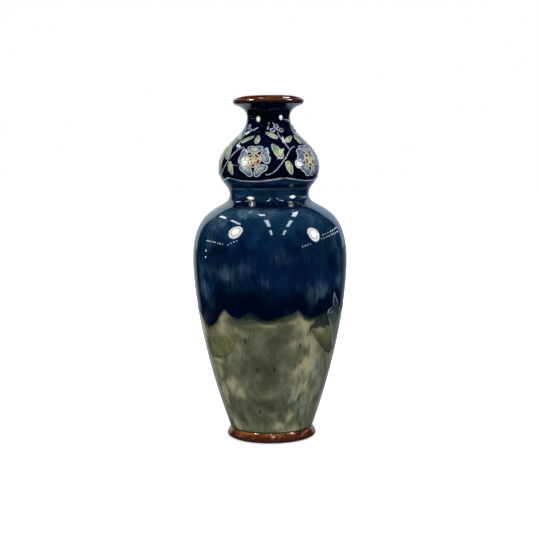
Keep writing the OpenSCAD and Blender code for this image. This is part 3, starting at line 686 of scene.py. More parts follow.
# Small dark specks: turn in degrees and height in millimetres
SPECKS = (
    (-21, 93), (25, 89), (-12, 68), (3, 68), (-13, 30), (10, 26), (39, 16), (33, 103), (-64, 41), (128, 84),
    (150, 52), (174, 71), (-160, 95), (-142, 38), (-115, 66), (96, 60))
# A speck's half width, from its soft edge to its dark middle, and how much of its height counts: it is drawn out
SPECK_RADII = (0.0010, 0.0004)
SPECK_STRETCH = (1, 1, 0.2)
# The bare strip at the right: its left and right sides in degrees at each height in millimetres, and how far
# outside them its field goes on falling
STRIP_HEIGHTS = (73, 76, 84, 94, 103, 108, 112, 115, 118, 121, 125, 131)
STRIP_LEFT = (76, 71, 67, 62, 57, 53, 50.5, 50, 52, 56.5, 55.5, 56)
STRIP_RIGHT = (76, 81, 84, 83, 79, 76, 72, 70, 68, 65, 60, 56.5)
STRIP_FAR = 9


def sway(turn, height, phase):
    return SWAY_REACH * sum(share * np.sin(around * turn + up * height / MM + phase * (n + 1))
                            for n, (around, up, share) in enumerate(SWAY_WAVES))


def degrees_from(middle, turn):
    """How far a turn lies from a middle, from -180 to 180 degrees."""
    return np.mod(np.degrees(turn) - middle + 180, 360) - 180


def patch_field(turn, height, table, squareness=1.0):
    """How deep each point lies in the soft patches of a table."""
    value = np.zeros_like(turn)
    for n, (middle, half, level, rise, strength) in enumerate(table):
        across = degrees_from(middle, turn) / half + sway(turn, height, n)
        up = (height / MM - level) / rise + sway(turn, height, n + 0.6)
        value = np.maximum(value, strength * np.exp(-(across ** 2) ** squareness - (up ** 2) ** squareness))
    return value


def dip_field(turn, height):
    """Millimetres above the pale line of the earlier dip, far away beyond its ends."""
    middle, half, level, sag = DIP_LINE
    across = degrees_from(middle, turn) / half
    return (height / MM - level + sag * across ** 2) / np.clip(1 - across ** 4, DIP_LEAST, 1)


def strip_field(turn, height):
    """How far inside the bare strip each point lies, in degrees of turn."""
    around = degrees_from(0, turn)
    left, right = (np.interp(height / MM, STRIP_HEIGHTS, side) for side in (STRIP_LEFT, STRIP_RIGHT))
    inside = np.minimum(around - left, right - around)
    ends = np.minimum(STRIP_HEIGHTS[-1] - height / MM, height / MM - STRIP_HEIGHTS[0])
    return np.maximum(np.minimum(inside, ends), -STRIP_FAR)


def at_height(section, field, *values):
    """A field of a chart, from one that asks for heights: the section turns travel into height."""
    return lambda turn, travel: field(turn, section.height(travel), *values)


def glaze_fields(section, frieze, **tables):
    """Fields of a coat's chart: distance up from the blue glaze's end, the strip and the named patches."""
    fields = {"edge": lambda turn, travel: travel - section.travel_at(drip_height(frieze, turn)),
              "strip": at_height(section, strip_field)}
    for name, table in tables.items():
        fields[name] = at_height(section, patch_field, table, VEIL_SQUARENESS if name == "veils" else 1.0)
    return fields


# Scallops of the blue glaze: start in turns, cusp and hang as shares of the drip depth
DRIP_SHARES = np.array([
    [0.035, 0.3, 0.42], [0.058, 0.7, -0.05], [0.112, 0.12, 0.08], [0.128, 0.2, 0.15], [0.16, 0.5, -0.3],
    [0.222, 0.62, -0.6], [0.31, 0.4, 0.1], [0.39, 0.7, -0.4], [0.49, 0.3, 0], [0.56, 0.66, -0.9],
    [0.655, 0.5, 0.1], [0.72, 0.4, -0.2], [0.785, 0.6, -0.9], [0.8986, 0.72, 0.0], [0.955, 0.46, -0.14],
    [1.035, 0.3, 0.42]])
# How round the peaks between the scallops are
CUSP_ROUNDING = 0.14
# Runs of thin glaze: middle and half width in turns, reach in drip depths, and the shares of that reach to which
# the run comes down from its left to its right side
RUN_SHARES = ((0.8764, 0.0486, 3.6, (0.78, 0.985, 0.975, 0.96, 0.88, 0.71, 0.42)),
              (0.143, 0.0458, 3.25, (0.4, 0.62, 0.77, 0.9, 1.01, 1.05, 0.96)),
              (0.45, 0.045, 2.4, (0.3, 0.76, 0.96, 1.0, 0.92, 0.7, 0.3)),
              (0.66, 0.05, 3.0, (0.3, 0.6, 0.85, 0.97, 1.0, 0.86, 0.4)))
# Where a run would end above the scallops it reaches this share of its drop below them
RUN_LEAST_SHARE = 0.15
RUN_COLUMNS = 49
RUN_ROWS = 33
# How blunt the runs' edges are, how far their thin ends stand off the coat below, and how deep their backs lie in it
RUN_BLUNTNESS = 8
RUN_CLEARANCE = 0.02 * MM
RUN_BACK_SHARE = 0.5


def eased(values, place):
    """A smooth line through values spread evenly from -1 to 1."""
    values = np.asarray(values, float)
    t = (np.clip(place, -1, 1) + 1) / 2 * (len(values) - 1)
    i = np.clip(t.astype(int), 0, len(values) - 2)
    before, start, end, after = (values[np.clip(i + k, 0, len(values) - 1)] for k in (-1, 0, 1, 2))
    u = t - i
    return start + u / 2 * (end - before + u * (2 * before - 5 * start + 4 * end - after
                                                + u * (3 * (start - end) + after - before)))


def drip_height(frieze, turn):
    """Height of the end of the blue glaze at a turn from the front."""
    share = np.mod(np.asarray(turn) / FULL_TURN - DRIP_SHARES[0, 0], 1) + DRIP_SHARES[0, 0]
    i = np.clip(np.searchsorted(DRIP_SHARES[:, 0], share, side="right") - 1, 0, len(DRIP_SHARES) - 2)
    start, after = DRIP_SHARES[i], DRIP_SHARES[i + 1]
    u = (share - start[..., 0]) / (after[..., 0] - start[..., 0])
    cusp = start[..., 1] + (after[..., 1] - start[..., 1]) * u
    sag = (start[..., 1] + after[..., 1]) / 2 - start[..., 2]
    full = math.hypot(1, CUSP_ROUNDING) - CUSP_ROUNDING
    hang = (np.hypot(np.sin(math.pi * u), CUSP_ROUNDING) - CUSP_ROUNDING) / full
    return frieze.glaze_line + frieze.drip_depth * (cusp - sag * hang)


def swag_height(frieze, section, turn):
    """Height of the border line under the frieze at a turn from the front."""
    flower = section.travel_at(section.bulb_height) + frieze.flower_lift
    border = np.interp(flower - frieze.flower_radius - frieze.border_gap, section.travel, section.outside[:, 1])
    share = np.mod((turn - frieze.first_flower) / (FULL_TURN / frieze.repeats) + 0.5, 1)
    return border + frieze.swag_depth * (1 - np.sin(math.pi * share))


def runs_chart(name, section, frieze, coat):
    """The runs as closed pads, with fields for their feet and for the way down from their heads."""
    across = np.sin(np.linspace(-math.pi / 2, math.pi / 2, RUN_COLUMNS))[:, None]
    down = (1 - np.cos(np.linspace(0, math.pi, RUN_ROWS))) / 2
    top = frieze.run_height * (1 - np.maximum(abs(across), down) ** RUN_BLUNTNESS) + RUN_CLEARANCE
    bottom = np.full_like(top, -RUN_BACK_SHARE * coat)
    points = []
    for middle, half, reach, ends in RUN_SHARES:
        turn = FULL_TURN * (middle + half * across)
        head = drip_height(frieze, turn)
        drop = reach * frieze.drip_depth * eased(ends, across)
        tail = np.minimum(frieze.glaze_line - drop, head - RUN_LEAST_SHARE * drop)
        travel = section.travel_at(head + (tail - head) * down)
        points += [np.stack([turn + 0 * down, travel, lift], axis=-1).reshape(-1, 3) for lift in (top, bottom)]
    points = np.concatenate(points)
    grid = np.arange(top.size).reshape(top.shape)
    under = grid + top.size
    first, later = slice(None, -1), slice(1, None)
    corners = ((first, first), (first, later), (later, later), (later, first))
    ring = np.concatenate([grid[:-1, 0], grid[-1, :-1], grid[:0:-1, -1], grid[0, :0:-1]])
    after = np.roll(ring, -1)
    quads = [[grid[place] for place in corners], [under[place] for place in corners[::-1]],
             [ring, after, after + top.size, ring + top.size]]
    faces = np.concatenate([np.stack(quad, axis=-1).reshape(-1, 4) for quad in quads])
    faces = np.concatenate([faces + 2 * top.size * n for n in range(len(RUN_SHARES))])
    fields = glaze_fields(section, frieze, **GREEN_PATCHES)
    values = {key: make(points[:, 0], points[:, 1]) for key, make in fields.items()}
    for key, value in (("rim", np.maximum(abs(across), 2 * down - 1)), ("head", down + 0 * across)):
        values[key] = np.tile(value.ravel(), 2 * len(RUN_SHARES))
    return chart_mesh(name, points, faces.tolist(), **values)


# Outlines of the motifs -----------------------------------------------------------------------------------

PETALS = 5
# Ovals: near and far end and half width as shares of the flower's radius, how much wider they are at the far end,
# and the depth of the notch there
PETAL_SHARES = (0.48, 1, 0.44, 0.35, 0.08)
HEART_SHARES = (0.2, 0.43, 0.17, 0.25, 0)
EYE_SHARE = 0.115
NOTCH_ANGLE = math.radians(30)
PETAL_STEPS = 64
HEART_STEPS = 40
DOT_STEPS = 28
# Leaves: base across and up, angle in turns and length, as shares of the flower's radius
LEAF_GAP_SHARES = ((-0.15, 0.1, 0.311, 1.0), (0.15, -0.1, -0.189, 0.74),
                   (-0.13, 1.6, 0.39, 0.66), (0.34, 1.28, 0.11, 0.66))
LEAF_TOP_SHARES = ((0, 1.16, 0.25, 0.58),)
LEAF_WIDTH_SHARE = 0.21
LEAF_FAN_SHARE = -0.2
# A leaf's drawn-out tip, and how far around its outline the tip reaches
LEAF_TIP_SHARE = 0.06
LEAF_TIP_SPREAD = 0.5
RIB_SHARES = (0.2, 0.86)
RIB_BOW_SHARE = 0.04
RIB_POINTS = 12
BERRY_SHARES = ((0, 2.5), (-0.27, 2.22), (0.27, 2.22))
BERRY_SHARE = 0.125
BORDER_POINTS = 60
# The vine leaves a flower at this angle and this many line widths outside it
STEM_ANGLE = math.radians(50)
STEM_CLEARANCE = 1.5
STEM_STEPS = 48
SPRIG_STEPS = 24
STEM_PULL_SHARES = (0.17, 0.95)
SPRIG_SHARES = ((0.42, 0.66), (0.36, 1.0), (0.05, 1.3), (0, 2.12))
# Pads of glaze: rings from the lower edge in to the middle, and how deep they stand in the coat
PAD_RINGS = (1, 1, 0.94, 0.86, 0.76, 0.62, 0.46, 0.3, 0.15)
PAD_ROOT = 0.0002
# How high a pad lies, as shares of its height: all over, more in the middle, and more at a lip that starts this
# share of the way out
PAD_LEVEL_SHARE = 0.62
PAD_DOME_SHARE = 0.38
PAD_LIP_SHARE = 0.45
PAD_LIP_START = 0.8
UP = np.array([0.0, 1.0])


def turned(points, angle):
    c, s = math.cos(angle), math.sin(angle)
    return np.asarray(points, float) @ np.array([[c, s], [-s, c]])


def way_at(angle):
    return turned([[1, 0]], angle)[0]


def oval(near, far, half_width, fan=0.0, notch=0.0, angle=0.0, steps=PETAL_STEPS):
    """An outline that lies between near and far along an angle, wider at its far end, with a notch there."""
    t = np.linspace(0, FULL_TURN, steps, endpoint=False)
    dip = notch * np.clip(1 - np.abs(np.angle(np.exp(1j * t))) / NOTCH_ANGLE, 0, 1)
    along = (near + far) / 2 + (far - near) / 2 * np.cos(t) - dip
    return turned(np.column_stack([along, half_width * np.sin(t) * (1 + fan * np.cos(t))]), angle)


def dot(radius):
    return oval(-radius, radius, radius, steps=DOT_STEPS)


def ring_of_petals(shares, size, offset, steps):
    """Ovals around the middle of a flower, each with its share of the pitch and the way in which it points."""
    near, far, half, fan, notch = shares
    angles = [math.pi / 2 + FULL_TURN * (k + offset) / PETALS for k in range(PETALS)]
    return [(oval(near * size, far * size, half * size, fan, notch * size, angle, steps), 0, way_at(angle))
            for angle in angles]


def leaf(place, reach):
    long, angle = place[3] * reach, FULL_TURN * place[2]
    outline = oval(0, long, LEAF_WIDTH_SHARE * long, LEAF_FAN_SHARE, angle=angle)
    around = np.angle(np.exp(1j * np.linspace(0, FULL_TURN, len(outline), endpoint=False)))
    tip = np.exp(-(around / LEAF_TIP_SPREAD) ** 2)[:, None]
    return outline + np.array(place[:2]) * reach + LEAF_TIP_SHARE * long * tip * way_at(angle)


def rib(place, reach):
    long = place[3] * reach
    along = np.linspace(*RIB_SHARES, RIB_POINTS) * long
    bow = RIB_BOW_SHARE * long * np.sin(np.linspace(0, math.pi, RIB_POINTS))
    return turned(np.column_stack([along, bow]), FULL_TURN * place[2]) + np.array(place[:2]) * reach


class Motifs:
    """Outlines of the frieze for one repeat, as (points, share of the pitch, way), and its open lines."""

    def __init__(self, frieze, section):
        self.frieze = frieze
        self.section = section
        self.row = section.travel_at(section.bulb_height) + frieze.flower_lift
        reach = frieze.flower_radius
        inner = reach - frieze.line_width / 2
        leaves = [(place, 0.5) for place in LEAF_GAP_SHARES] + [(place, 0.0) for place in LEAF_TOP_SHARES]
        self.petals = ring_of_petals(PETAL_SHARES, inner, 0, PETAL_STEPS)
        self.hearts = ring_of_petals(HEART_SHARES, inner, 0.5, HEART_STEPS)
        self.eyes = [(dot(EYE_SHARE * inner), 0, UP)]
        self.leaves = [(leaf(place, reach), share, way_at(FULL_TURN * place[2])) for place, share in leaves]
        self.ribs = [(rib(place, reach), False, share) for place, share in leaves]
        self.berries = [(dot(BERRY_SHARE * reach) + np.array(place) * reach, 0.5, UP) for place in BERRY_SHARES]

    def border(self):
        """The swagged line under the frieze, once around the vase from the middle of a gap."""
        frieze, section = self.frieze, self.section
        count = frieze.repeats
        turns = FULL_TURN / count * np.linspace(0.5, count + 0.5, BORDER_POINTS * count, endpoint=False)
        travel = section.travel_at(swag_height(frieze, section, frieze.first_flower + turns))
        return np.column_stack([turns * section.radius(travel), travel - self.row])

    def stem(self):
        """The vine from one flower to the next, about the middle of the gap, in true widths."""
        frieze, pitch = self.frieze, FULL_TURN / self.frieze.repeats
        reach = frieze.flower_radius + STEM_CLEARANCE * frieze.line_width
        edge = reach * np.array([math.cos(STEM_ANGLE), -math.sin(STEM_ANGLE)])
        start = np.array([-pitch / 2 + edge[0] / self.section.radius(self.row + edge[1]), edge[1]])
        end = np.array([pitch / 2 - edge[0] / self.section.radius(self.row - edge[1]), -edge[1]])
        pull = np.array([STEM_PULL_SHARES[0] * pitch / 2, STEM_PULL_SHARES[1] * frieze.flower_radius])
        path = np.concatenate([bend(start, -pull, pull, end, STEM_STEPS), [end]])
        return np.column_stack([path[:, 0] * self.section.radius(self.row + path[:, 1]), path[:, 1]])

    def sprig(self):
        points = [np.array(share) * self.frieze.flower_radius for share in SPRIG_SHARES]
        return np.concatenate([bend(*points, SPRIG_STEPS), [points[-1]]])

    def lines_mesh(self, name, lines):
        """Flat lines as bare edges, each with its share of the pitch."""
        points, edges, shares = [], [], []
        for path, closed, share in lines:
            start = len(points)
            points += [(x, y + self.row, 0.0) for x, y in path]
            edges += [(start + i, start + i + 1) for i in range(len(path) - 1)]
            if closed:
                edges.append((start + len(path) - 1, start))
            shares += [share] * len(path)
        mesh = bpy.data.meshes.new(name)
        mesh.from_pydata(points, edges, [])
        mesh.attributes.new("pitch_share", "FLOAT", "POINT").data.foreach_set("value", shares)
        return mesh

    def pads_mesh(self, name, outlines, height, drawn_in, dome):
        """Closed pads with a low rim, each point with how far it is out and how far along its pad."""
        points, faces, values = [], [], []
        for outline, share, way in outlines:
            middle = outline.mean(axis=0)
            edge = outline - (outline - middle) / np.linalg.norm(outline - middle, axis=1)[:, None] * drawn_in
            spread = (outline - middle) @ way
            count, start = len(outline), len(points)
            for ring, out in enumerate(PAD_RINGS):
                lift = pad_lift(out, height, dome) if ring else -PAD_ROOT
                for p in middle + (edge - middle) * out:
                    points.append((p[0], p[1] + self.row, lift))
                    values.append((share, out, ((p - middle) @ way - spread.min()) / np.ptp(spread)))
            last = len(points) - count
            for lift in (pad_lift(0, height, dome), -PAD_ROOT):
                points.append((middle[0], middle[1] + self.row, lift))
                values.append((share, 0, 0.5))
            for i in range(count):
                k = (i + 1) % count
                faces += [(a + i, a + k, a + count + k, a + count + i) for a in range(start, last, count)]
                faces += [(last + i, last + k, len(points) - 2), (start + k, start + i, len(points) - 1)]
        share, rim, along = zip(*values)
        return chart_mesh(name, np.array(points), faces, pitch_share=share, rim=rim, along=along)


def pad_lift(out, height, dome):
    """Lift of a pad at a share of the way out: a crown in the middle and a lip that climbs its line."""
    lip = max(0, (out - PAD_LIP_START) / (1 - PAD_LIP_START)) ** 2
    return height * (PAD_LEVEL_SHARE + dome * PAD_DOME_SHARE * (1 - out ** 2) + PAD_LIP_SHARE * lip)


# Glaze materials ------------------------------------------------------------------------------------------

GLAZE_IOR = 1.5
# How a seed moves a noise across, back and up
SEED_MOVES = (1, 0.37, 0.71)
# Half the height over which a pooled edge changes
POOL_EDGE = 0.0003
# Heights in metres: where the blue glaze thins over the shoulder, turns into the collar's and thins on it, and the
# dark band and the pale line of painted reflection on the collar, each from the start of its rise to the end of its
# fall
SHOULDER_LEVELS = (0.164, 0.202)
COLLAR_LEVELS = (0.202, 0.2055)
THIN_LEVELS = (0.2085, 0.2125)
DARK_BAND = (0.2208, 0.2222, 0.2232, 0.2250)
PAINTED_REFLECTION_BAND = (0.2196, 0.2202, 0.2203, 0.2208)
# Where the bare strip's top deepens, where its outline fades at the right, and the pooled glaze over the foot
STRIP_TOP_LEVELS = (0.100, 0.118)
STRIP_FADE = (-0.013, -0.0085)
FOOT_POOL_LEVELS = (0.0108, 0.0098)
# Layers of the green glaze: field, colour, scale of the loose patches behind, strength, and least share in the
# gaps between streaks
GREEN_LAYERS = (("pools", "olive_dark", 40, 0.8, 0.85), ("creams", "cream", 36, 0.9, 0.8),
                ("mists", "mist", 55, 0.75, 0.2))
BLUE_LAYERS = (("hazes", "haze", None, 0.8, 0.8), ("veils", "veil", None, 0.9, 0.9))


class Recipe(NodeSheet):
    """A glaze's shader: its base colour, built up in layers, and bump; gloss on the shader's own sockets."""

    def __init__(self, name, roughness=0.05, base=None):
        self.material = bpy.data.materials.new(name)
        self.material.use_nodes = True
        super().__init__(self.material.node_tree)
        self.shader = self.tree.nodes["Principled BSDF"].inputs
        self.shader["Roughness"].default_value = roughness
        self.shader["IOR"].default_value = GLAZE_IOR
        self.object = self.add("ShaderNodeTexCoord").outputs["Object"]
        self.x, self.y, self.height = self.parts(self.object)
        self.base = base

    def noise(self, scale, detail=3.0, rough=0.5, flow=1.0, distortion=0.0, seed=0.0):
        """Noise over the vase; flow under 1 draws it out downwards, as glaze runs."""
        place = self.add("ShaderNodeMapping", {"Vector": self.object, "Scale": (1, 1, flow),
                                               "Location": [seed * move for move in SEED_MOVES]}).outputs[0]
        return self.ripples(place, scale, detail, Roughness=rough, Distortion=distortion)

    def grain(self, mottle_scale, broad_scale, seeds):
        """Noises of a glaze that has run, from fine hairs to broad clouds."""
        self.hair = self.noise(950, detail=2, rough=0.6, flow=0.05, seed=seeds[0])
        self.streak = self.noise(420, detail=3, rough=0.6, flow=0.08, seed=seeds[1])
        self.mottle = self.noise(mottle_scale, detail=4, rough=0.6, flow=0.6, distortion=0.5, seed=seeds[2])
        self.broad = self.noise(broad_scale, detail=3, rough=0.55, flow=0.8, distortion=0.9, seed=seeds[3])

    def field(self, name):
        return self.add("ShaderNodeAttribute", attribute_name=name, attribute_type="GEOMETRY").outputs["Fac"]

    def ramp(self, value, low, high, to_low=0.0, to_high=1.0):
        return self.span(value, low, high, to_low, to_high, interpolation_type="SMOOTHSTEP")

    def band(self, value, start, full, ease, end):
        """Rises from start to full and falls from ease to end."""
        return self.times(self.ramp(value, start, full), self.ramp(value, end, ease))

    def wander(self, value, *noises):
        """A value moved up and down by noises, each given with its reach."""
        for noise, reach in noises:
            value = self.plus(value, self.times(self.minus(noise, 0.5), 2 * reach))
        return value

    def tint(self, factor, colour):
        """Lays a colour over the base by a factor."""
        self.base = self.blend(factor, self.base, colour)

    def shade(self, value, low, high):
        """Multiplies the base by a grey from low to high as value goes from 0.25 to 0.75."""
        grey = self.ramp(value, 0.25, 0.75, low, high)
        self.base = self.blend(1.0, self.base, self.joined(grey, grey, grey), "MULTIPLY")

    def done(self, bump, distance=0.0002, strength=0.06):
        relief = self.add("ShaderNodeBump", {"Height": bump, "Strength": strength, "Distance": distance})
        self.link(self.base, self.shader["Base Color"])
        self.link(relief.outputs[0], self.shader["Normal"])
        return self.material


def strip_over(glaze, colours):
    """The bare strip: grey-green inside, with a thin wavy outline of pale blue that fades at its right."""
    uneven = glaze.noise(170, detail=3, flow=0.5, seed=11)
    inside = glaze.wander(glaze.field("strip"), (uneven, 3.0))
    fill = glaze.blend(glaze.ramp(glaze.streak, 0.35, 0.65), colours.strip, colours.olive_grey)
    fill = glaze.blend(glaze.ramp(glaze.height, *STRIP_TOP_LEVELS), fill, colours.strip_deep)
    glaze.tint(glaze.ramp(inside, -0.6, 1.0, 0, 0.85), fill)
    outline = glaze.times(glaze.band(inside, -1.3, 0.0, 0.2, 1.3), glaze.ramp(glaze.y, *STRIP_FADE, 1.0, 0.2))
    glaze.tint(glaze.times(outline, glaze.ramp(uneven, 0.35, 0.6, 0.1, 0.7)), colours.strip_line)


def soft_end(glaze, low, high, strength):
    """Fades around the end of the blue glaze, softer in some places than in others."""
    edge = glaze.wander(glaze.field("edge"), (glaze.streak, 0.001), (glaze.mottle, 0.0036))
    softness = glaze.ramp(glaze.noise(60, detail=2, seed=41), 0.36, 0.58, 0.5, 1.0)
    return glaze.times(glaze.ramp(edge, low, high, 0.0, strength), softness)


def loose_patches(glaze, behind, scale, flow, seed, low, high):
    """Patches of noise for the back, where no patch is set by hand."""
    return glaze.times(behind, glaze.ramp(glaze.noise(scale, detail=2, flow=flow, seed=seed), low, high))


def collar(glaze, colours):
    """Blue-green and teal over the waist, with a dark band and a pale line of painted reflection along its rings."""
    banded = glaze.noise(75, detail=3, rough=0.6, flow=3.2, seed=8)
    level = glaze.wander(glaze.height, (glaze.mottle, 0.0006))
    thin = glaze.times(glaze.ramp(glaze.wander(glaze.height, (banded, 0.004)), *THIN_LEVELS),
                       glaze.ramp(banded, 0.3, 0.6, 0.35, 0.9))
    body = glaze.blend(glaze.ramp(glaze.wander(glaze.broad, (banded, 0.3)), 0.3, 0.6), colours.blue_green,
                       colours.teal)
    body = glaze.blend(thin, colours.waist, body)
    body = glaze.blend(glaze.band(level, *DARK_BAND), body, colours.waist)
    # Painted reflection: a thin pale line in the clouds' grey-blue along the underside of the bulb
    pale = glaze.times(glaze.band(level, *PAINTED_REFLECTION_BAND), glaze.ramp(glaze.broad, 0.4, 0.6, 0.15, 0.5))
    return glaze.blend(pale, body, colours.cloud)


def blue_glaze_material(colours):
    """Deep teal-blue: clouds and pools, thin on the shoulder, thick near its end and another blue on the collar."""
    glaze = Recipe("blue glaze")
    glaze.grain(105, 38, (5, 3, 0, 21))
    hair, streak, mottle, broad = glaze.hair, glaze.streak, glaze.mottle, glaze.broad
    behind = glaze.ramp(glaze.y, -0.015, 0.02)
    glaze.base = glaze.blend(glaze.ramp(glaze.wander(broad, (mottle, 0.3)), 0.3, 0.72), colours.navy, colours.blue)
    green = glaze.wander(glaze.noise(24, detail=2, flow=0.7, distortion=0.5, seed=31), (mottle, 0.15))
    glaze.tint(glaze.ramp(green, 0.46, 0.66, 0, 0.7), colours.blue_green)
    shoulder = glaze.wander(glaze.height, (mottle, 0.02), (broad, 0.02))
    glaze.tint(glaze.ramp(shoulder, *SHOULDER_LEVELS, 0, 0.85), colours.teal)
    pool = glaze.most(glaze.field("pools"), loose_patches(glaze, behind, 42, 0.8, 13, 0.5, 0.66))
    glaze.tint(glaze.ramp(glaze.wander(pool, (mottle, 0.35), (streak, 0.12)), 0.05, 1.2, 0, 0.85), colours.pool)
    cloud = glaze.most(glaze.field("clouds"), loose_patches(glaze, behind, 38, 0.7, 9, 0.54, 0.74))
    cloud = glaze.ramp(glaze.wander(cloud, (mottle, 0.35), (streak, 0.25), (hair, 0.1)), 0.05, 1.4, 0, 0.7)
    glaze.tint(glaze.times(cloud, glaze.ramp(streak, 0.3, 0.7, 0.45, 1.0)), colours.cloud)
    glaze.shade(streak, 0.92, 1.08)
    glaze.shade(hair, 0.93, 1.07)
    glaze.tint(glaze.ramp(glaze.wander(glaze.height, (mottle, 0.002)), *COLLAR_LEVELS), collar(glaze, colours))
    thick = glaze.band(glaze.wander(glaze.field("edge"), (streak, 0.003), (mottle, 0.006)), -0.002, 0.002, 0.010, 0.03)
    thick = glaze.times(thick, glaze.ramp(glaze.field("clouds"), 0.9, 0.2, 0.5, 1.0))
    glaze.tint(glaze.times(thick, 0.88), colours.pool)
    glaze.tint(soft_end(glaze, 0.0034, -0.0006, 0.8), colours.groove)
    strip_over(glaze, colours)
    return glaze.done(glaze.noise(90, detail=2, seed=2))


def layers_over(glaze, colours, layers):
    """Soft patches of other tones, drawn out in streaks."""
    behind = glaze.ramp(glaze.y, -0.015, 0.015)
    for name, tone_name, scale, strength, least in layers:
        patch = glaze.field(name)
        if scale:
            patch = glaze.most(patch, loose_patches(glaze, behind, scale, 0.6, scale, 0.52, 0.7))
        patch = glaze.ramp(glaze.wander(patch, (glaze.mottle, 0.3), (glaze.streak, 0.15)), 0.1, 1.1, 0, strength)
        glaze.tint(glaze.times(patch, glaze.ramp(glaze.streak, 0.35, 0.68, least, 1.0)), getattr(colours, tone_name))


def green_recipe(name, colours):
    """Mottled olive-grey: dark pools, cream blotches, grey-blue streaks and dark hairs."""
    glaze = Recipe(name)
    glaze.grain(100, 36, (6, 4, 1, 22))
    body = glaze.wander(glaze.broad, (glaze.mottle, 0.3), (glaze.streak, 0.1))
    glaze.base = glaze.blend(glaze.ramp(body, 0.3, 0.78), colours.olive_grey, colours.olive)
    layers_over(glaze, colours, GREEN_LAYERS)
    dark = glaze.times(glaze.ramp(glaze.hair, 0.6, 0.78), glaze.ramp(glaze.mottle, 0.45, 0.65))
    glaze.tint(glaze.times(dark, 0.4), colours.olive_dark)
    glaze.shade(glaze.streak, 0.93, 1.07)
    glaze.shade(glaze.hair, 0.92, 1.08)
    return glaze


def under_blue(glaze, colours):
    """Thin blue that has run over the green, dark green under the end of the blue, and the bare strip."""
    layers_over(glaze, colours, BLUE_LAYERS)
    glaze.tint(soft_end(glaze, -0.0040, 0.0002, 0.88), colours.groove)
    strip_over(glaze, colours)


def green_glaze_material(colours, section):
    glaze = green_recipe("green glaze", colours)
    dip = glaze.wander(glaze.field("dip"), (glaze.mottle, 0.7), (glaze.streak, 0.2))
    glaze.tint(glaze.times(glaze.band(dip, -4.5, -0.6, -0.3, 0.7), 0.26), colours.cream)
    under_blue(glaze, colours)
    near = 1.0
    for turn, height in SPECKS:
        radius, way = section.radius(section.travel_at(height * MM)), math.radians(turn)
        place = (radius * math.sin(way), -radius * math.cos(way), height * MM)
        apart = glaze.vector("MULTIPLY", glaze.vector("SUBTRACT", glaze.object, place), SPECK_STRETCH)
        near = glaze.least(near, glaze.vector("LENGTH", apart, output="Value"))
    glaze.tint(glaze.ramp(near, *SPECK_RADII, 0, 0.95), colours.speck)
    glaze.tint(glaze.ramp(glaze.height, *FOOT_POOL_LEVELS, 0, 0.9), colours.groove)
    return glaze.done(glaze.noise(90, detail=2, seed=2))


def run_material(colours):
    """Olive runs: the green glaze at their heads, deeper olive below and a dark outline at their feet."""
    glaze = green_recipe("olive runs", colours)
    head = glaze.wander(glaze.field("head"), (glaze.mottle, 0.2), (glaze.streak, 0.15))
    olive = glaze.blend(glaze.ramp(glaze.streak, 0.35, 0.65), colours.run, colours.run_pale)
    glaze.tint(glaze.ramp(head, 0.2, 0.75, 0.1, 0.85), olive)
    dull = glaze.times(glaze.ramp(glaze.x, 0.025, 0.045), glaze.ramp(head, 0.5, 0.95, 0.0, 0.85))
    glaze.tint(dull, colours.olive_dark)
    rim = glaze.ramp(glaze.wander(glaze.field("rim"), (glaze.mottle, 0.05)), 0.86, 1.0)
    rim = glaze.times(rim, glaze.ramp(glaze.field("head"), 0.6, 0.9))
    glaze.tint(glaze.times(rim, 0.7), colours.run_edge)
    under_blue(glaze, colours)
    return glaze.done(glaze.noise(90, detail=2, seed=2))


def cobalt_material(colours):
    glaze = Recipe("cobalt ground")
    patch = glaze.noise(95, detail=4, flow=0.6, seed=2)
    glaze.base = glaze.blend(glaze.ramp(patch, 0.42, 0.7), colours.cobalt, colours.cobalt_light)
    glaze.shade(glaze.noise(700, detail=2, flow=0.3), 0.85, 1.15)
    return glaze.done(glaze.noise(110, detail=2, seed=5), distance=0.0003, strength=0.12)


def brown_material(colours, name, low, high, painted_light_side, pool, pool_tone):
    """Red-brown glaze, thin and amber in broad places above one height, dark below it and pooled at its foot; the amber
    is partly a painted highlight, laid heavier on one side by how far across a point lies.
    """
    glaze = Recipe(name, roughness=0.07)
    patch = glaze.noise(210, detail=4, rough=0.65, seed=2)
    wide = glaze.wander(glaze.noise(60, detail=2, seed=4), (patch, 0.2))
    glaze.base = glaze.blend(glaze.ramp(patch, 0.36, 0.6), colours.brown_dark, colours.brown)
    # Painted highlight: the thin amber is laid heavier towards one side, by how far across the point lies
    thin = glaze.times(glaze.ramp(glaze.wander(glaze.height, (patch, 0.0018)), low, high),
                       glaze.ramp(glaze.plus(wide, glaze.times(glaze.x, painted_light_side)), 0.35, 0.65))
    glaze.tint(glaze.times(thin, 0.8), colours.amber)
    below = glaze.ramp(glaze.wander(glaze.height, (patch, 0.001)), low, 2 * low - high, 0, 0.7)
    glaze.tint(below, colours.brown_dark)
    foot = glaze.wander(glaze.height, (patch, 0.0005))
    glaze.tint(glaze.ramp(foot, pool + POOL_EDGE, pool - POOL_EDGE, 0, 0.95), pool_tone)
    return glaze.done(glaze.noise(200, detail=2), distance=0.0006, strength=0.4)


def inside_material(colours):
    glaze = Recipe("inner glaze", base=colours.inside)
    glaze.shade(glaze.noise(70, detail=4, flow=0.4), 0.8, 1.15)
    return glaze.done(glaze.noise(120, detail=2), strength=0.15)


def clay_material(colours):
    clay = Recipe("bare clay", 0.85, colours.clay)
    clay.shade(clay.noise(260, detail=5, rough=0.7), 0.82, 1.12)
    clay.tint(clay.ramp(clay.noise(1400, detail=1), 0.68, 0.74, 0, 0.6), colours.speck)
    return clay.done(clay.noise(900, detail=4), strength=0.5)


def darker(value, share):
    return tuple(part * share for part in value[:3])


